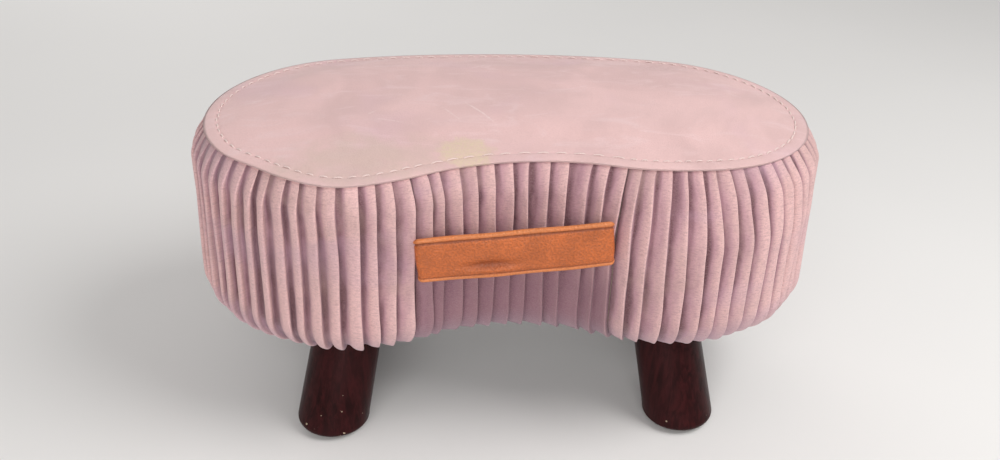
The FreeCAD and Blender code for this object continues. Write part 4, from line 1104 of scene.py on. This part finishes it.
class FOOTSTOOL_OT_strap(bpy.types.Operator):
    """Tan carrying strap across the hollow, its ends turned back into the side seams"""

    bl_idname = "footstool.strap"
    bl_label = "Carrying strap"

    def execute(self, context):
        maker = context.scene.footstool
        strap = maker.strap
        piece = self.band(strap)
        finish_with(piece, strap_finish(maker.colours), body=None)
        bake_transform(piece)
        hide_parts("strap_face", "strap_lining", "strap_rim_upper", "strap_rim_lower")
        return {"FINISHED"}

    def path(self, strap):
        """Out of the left seam, round a quarter turn, along the bar, and back in on the right. Gives
        x, the depth behind the bar, the outward direction and how far each point is into a tab."""
        turn = np.linspace(0, math.pi / 2, 8)[1:-1]
        tab = np.linspace(strap.tab, strap.bend, 5)
        curl = strap.bend * (1 - np.cos(turn))
        bar = np.linspace(-strap.left_span + strap.bend, strap.right_span - strap.bend, 128)
        ones, zeros = np.ones(5), np.zeros(len(bar))
        x = [-strap.left_span * ones, -strap.left_span + curl, bar]
        x += [strap.right_span - curl[::-1], strap.right_span * ones]
        depth = [tab, strap.bend * (1 - np.sin(turn)), zeros]
        out_x = [-ones, -np.cos(turn), zeros, np.cos(turn[::-1]), ones]
        out_y = [0 * ones, np.sin(turn), zeros + 1]
        x, out_x = np.concatenate(x), np.concatenate(out_x)
        depth = np.concatenate(depth + [depth[1][::-1], tab[::-1]])
        out_y = np.concatenate(out_y + [out_y[1][::-1], 0 * ones])
        return [part[:, None] for part in (x, depth, out_x, out_y)]

    def band(self, strap):
        """The section carried along the path. The face has a soft dent low on the left and a fold of
        slack under it; the tabs are drawn narrower where they enter the seams; the whole is turned
        by the skew."""
        x, depth, out_x, out_y = self.path(strap)
        level, outward, rim, groove = (STRAP_SECTION[None, :, k] for k in range(4))
        level = level * strap.height / 0.033
        face = (outward > 0.0007) & (np.abs(level) < 0.0125)
        span = strap.left_span + strap.right_span
        middle = (x + (strap.left_span - strap.right_span) / 2) / span
        dent_low = level + 0.0066 + 0.03 * (x + 0.020)
        dent = DENT_DEPTH * np.exp(-(((x + 0.020) / 0.016) ** 2) - (dent_low / 0.0028) ** 2)
        fold = 0.0014 * np.exp(-(((x + 0.016) / 0.019) ** 2) - ((level + 0.0105) / 0.0017) ** 2)
        slack = 0.0006 * np.cos(math.pi * middle) * np.cos(math.pi * level / strap.height)
        ripple = 0.00025 * np.sin(150 * x + 60 * level) * np.cos(90 * x - 240 * level + 0.5)
        outward = outward + np.where(face, slack + fold - dent + ripple, 0)
        limp = -0.0007 * np.cos(math.pi * middle) * np.clip(-level / 0.0165, 0, 1)
        wander = 0.00025 * np.sin(120 * x + 0.6) * (rim > 0.5)
        narrow = 1 - 0.07 * ease(depth / 0.003)
        rise = (level + limp + wander) * narrow - 0.58 * depth * np.clip(level / 0.0165, 0, 1)
        across = x + out_x * outward
        points = np.stack([across, depth - out_y * outward - strap.front, rise + 0 * x], -1)
        cos, sin = math.cos(strap.skew), math.sin(strap.skew)
        points[..., 0], points[..., 2] = (
            across * cos - rise * sin,
            across * sin + rise * cos + strap.middle_height,
        )
        rows, columns = points.shape[:2]
        faces = [list(quad) for quad in grid_faces(rows, columns, round_columns=True)]
        faces.append(list(range(columns)))
        faces.append([(rows - 1) * columns + k for k in reversed(range(columns))])
        # groove and dent also paint shade into the strap's colour: darker in the grooves and in the dent
        spots = {"edge": rim, "groove": groove, "dent": dent / DENT_DEPTH}
        spots = {key: np.broadcast_to(part, (rows, columns)) for key, part in spots.items()}
        return make_piece("carrying_strap", points, faces, **spots)


def repaint(material, *nodes, places=("",)):
    """Puts a finish on CAD nodes, whose shape stays as it is; places end the names of a set."""
    for node in (node + place for node in nodes for place in places):
        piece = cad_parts[node]
        piece.data.materials.clear()
        piece.data.materials.append(material)


class FOOTSTOOL_OT_legs(bpy.types.Operator):
    """Four splayed legs in dark varnish, with felt glides"""

    bl_idname = "footstool.legs"
    bl_label = "Legs"

    def execute(self, context):
        maker = context.scene.footstool
        repaint(varnish_finish(maker.colours), "leg_", places=LEG_PLACES)
        repaint(felt_finish(), "glide_", places=LEG_PLACES)
        return {"FINISHED"}


class FOOTSTOOL_OT_carcass(bpy.types.Operator):
    """Boards, posts and the bent band inside the seat"""

    bl_idname = "footstool.carcass"
    bl_label = "Carcass"

    def execute(self, context):
        repaint(plywood_finish(), "base_board", "seat_board")
        repaint(pine_finish(), "post_", places=POST_PLACES)
        repaint(hardboard_finish(), "side_band")
        return {"FINISHED"}


class FOOTSTOOL_OT_metalwork(bpy.types.Operator):
    """Screws, staples, pronged nuts and hanger bolts"""

    bl_idname = "footstool.metalwork"
    bl_label = "Metalwork"

    def execute(self, context):
        steel = steel_finish()
        repaint(steel, "seat_screws", "base_screws", "staples")
        repaint(steel, "tee_nut_", "hanger_bolt_", places=LEG_PLACES)
        return {"FINISHED"}


LAMPS = (
    # name, place, target, size, power
    ("key", (0.95, -0.45, 1.35), (0.02, -0.02, 0.15), 1.0, 16.0),
    ("fill", (-0.3, -1.5, 0.75), (0.0, 0.0, 0.15), 1.4, 13.0),
    ("back", (-0.6, 1.5, 0.90), (0.0, 0.0, 0.12), 1.4, 7.0),
)
# The photograph's camera: yaw, pitch and roll in degrees, place in metres, lens in millimetres
CAMERA_ANGLES = (4.7001, 29.9469, 2.0626)
CAMERA_PLACE = (-0.06344, -0.72400, 0.53521)
CAMERA_LENS = 39.917


class FOOTSTOOL_OT_stage(bpy.types.Operator):
    """Pale floor, soft studio light and the camera at the photograph's angle"""

    bl_idname = "footstool.stage"
    bl_label = "Studio"

    def execute(self, context):
        maker = context.scene.footstool
        scene = context.scene
        side = np.linspace(-1, 1, 3)
        x, y = np.meshgrid(side * 12, side * 12)
        floor = make_piece("floor", np.dstack([x, y, np.zeros_like(x)]), grid_faces(3, 3), up=True)
        self.floor_finish(floor, maker.colours.floor)
        world = scene.world or bpy.data.worlds.new("Studio")
        scene.world = world
        world.use_nodes = True
        backdrop = world.node_tree.nodes["Background"]
        backdrop.inputs["Color"].default_value = (1.0, 0.985, 0.97, 1.0)
        backdrop.inputs["Strength"].default_value = 0.38
        for lamp in LAMPS:
            self.soft_light(*lamp)
        camera = bpy.data.cameras.new("camera")
        camera.sensor_width = 36.0
        camera.lens = CAMERA_LENS
        camera.clip_start, camera.clip_end = 0.01, 60.0
        stand = bpy.data.objects.new("camera", camera)
        scene.collection.objects.link(stand)
        stand.matrix_world = self.camera_place()
        scene.camera = stand
        scene.view_settings.view_transform = "Standard"
        return {"FINISHED"}

    def camera_place(self):
        """Where the photograph was taken from, from the fitted yaw, pitch and roll."""
        yaw, pitch, roll = (math.radians(angle) for angle in CAMERA_ANGLES)
        ahead = np.array([math.sin(yaw) * math.cos(pitch), math.cos(yaw) * math.cos(pitch), -math.sin(pitch)])
        right = np.array([math.cos(yaw), -math.sin(yaw), 0.0])
        up = np.cross(right, ahead)
        across = math.cos(roll) * right + math.sin(roll) * up
        above = -math.sin(roll) * right + math.cos(roll) * up
        place = np.eye(4)
        place[:3] = np.column_stack([across, above, -ahead, CAMERA_PLACE])
        return Matrix(place)

    def soft_light(self, name, place, target, size, power):
        lamp = bpy.data.lights.new(name, "AREA")
        lamp.shape = "DISK"
        lamp.size = size
        lamp.energy = power
        lamp.color = (1.0, 0.985, 0.965)
        holder = bpy.data.objects.new(name, lamp)
        bpy.context.scene.collection.objects.link(holder)
        holder.location = place
        holder.rotation_euler = Vector(np.subtract(target, place)).to_track_quat("-Z", "Y").to_euler()

    def floor_finish(self, floor, tint):
        finish = Finish("studio_floor", Roughness=0.9)
        faint = finish.noise(3.0, 2.0)
        tone = finish.between(faint, 0.3, 0.7, shade(tint, 0.985), tint)
        finish.look(Base_Color=tone)
        floor.data.materials.append(finish.material)


class FOOTSTOOL_PT_maker(bpy.types.Panel):
    """Sidebar list of the pieces and their sizes"""

    bl_idname = "FOOTSTOOL_PT_maker"
    bl_label = "Footstool"
    bl_space_type = "VIEW_3D"
    bl_region_type = "UI"
    bl_category = "Footstool"

    def draw(self, context):
        layout = self.layout
        for maker in PIECE_MAKERS:
            layout.operator(maker.bl_idname)
        settings = context.scene.footstool
        for group in (settings.seat, settings.top, settings.pleats, settings.strap, settings.colours):
            box = layout.box()
            for key in group.__class__.__annotations__:
                box.prop(group, key)


PIECE_MAKERS = (
    FOOTSTOOL_OT_padding,
    FOOTSTOOL_OT_top_panel,
    FOOTSTOOL_OT_top_stitches,
    FOOTSTOOL_OT_pleated_sides,
    FOOTSTOOL_OT_dust_cover,
    FOOTSTOOL_OT_strap,
    FOOTSTOOL_OT_legs,
    FOOTSTOOL_OT_carcass,
    FOOTSTOOL_OT_metalwork,
    FOOTSTOOL_OT_stage,
)
CLASSES = (SeatSizes, TopSizes, PleatSizes, StrapSizes, Colours, Footstool, *PIECE_MAKERS, FOOTSTOOL_PT_maker)


def register():
    for cls in CLASSES:
        bpy.utils.register_class(cls)
    bpy.types.Scene.footstool = PointerProperty(
        name="Footstool", description="Sizes and colours of the footstool", type=Footstool
    )


def unregister():
    del bpy.types.Scene.footstool
    for cls in reversed(CLASSES):
        bpy.utils.unregister_class(cls)


def main():
    register()
    for maker in PIECE_MAKERS:
        group, name = maker.bl_idname.split(".")
        getattr(getattr(bpy.ops, group), name)()


if __name__ == "__main__":
    main()
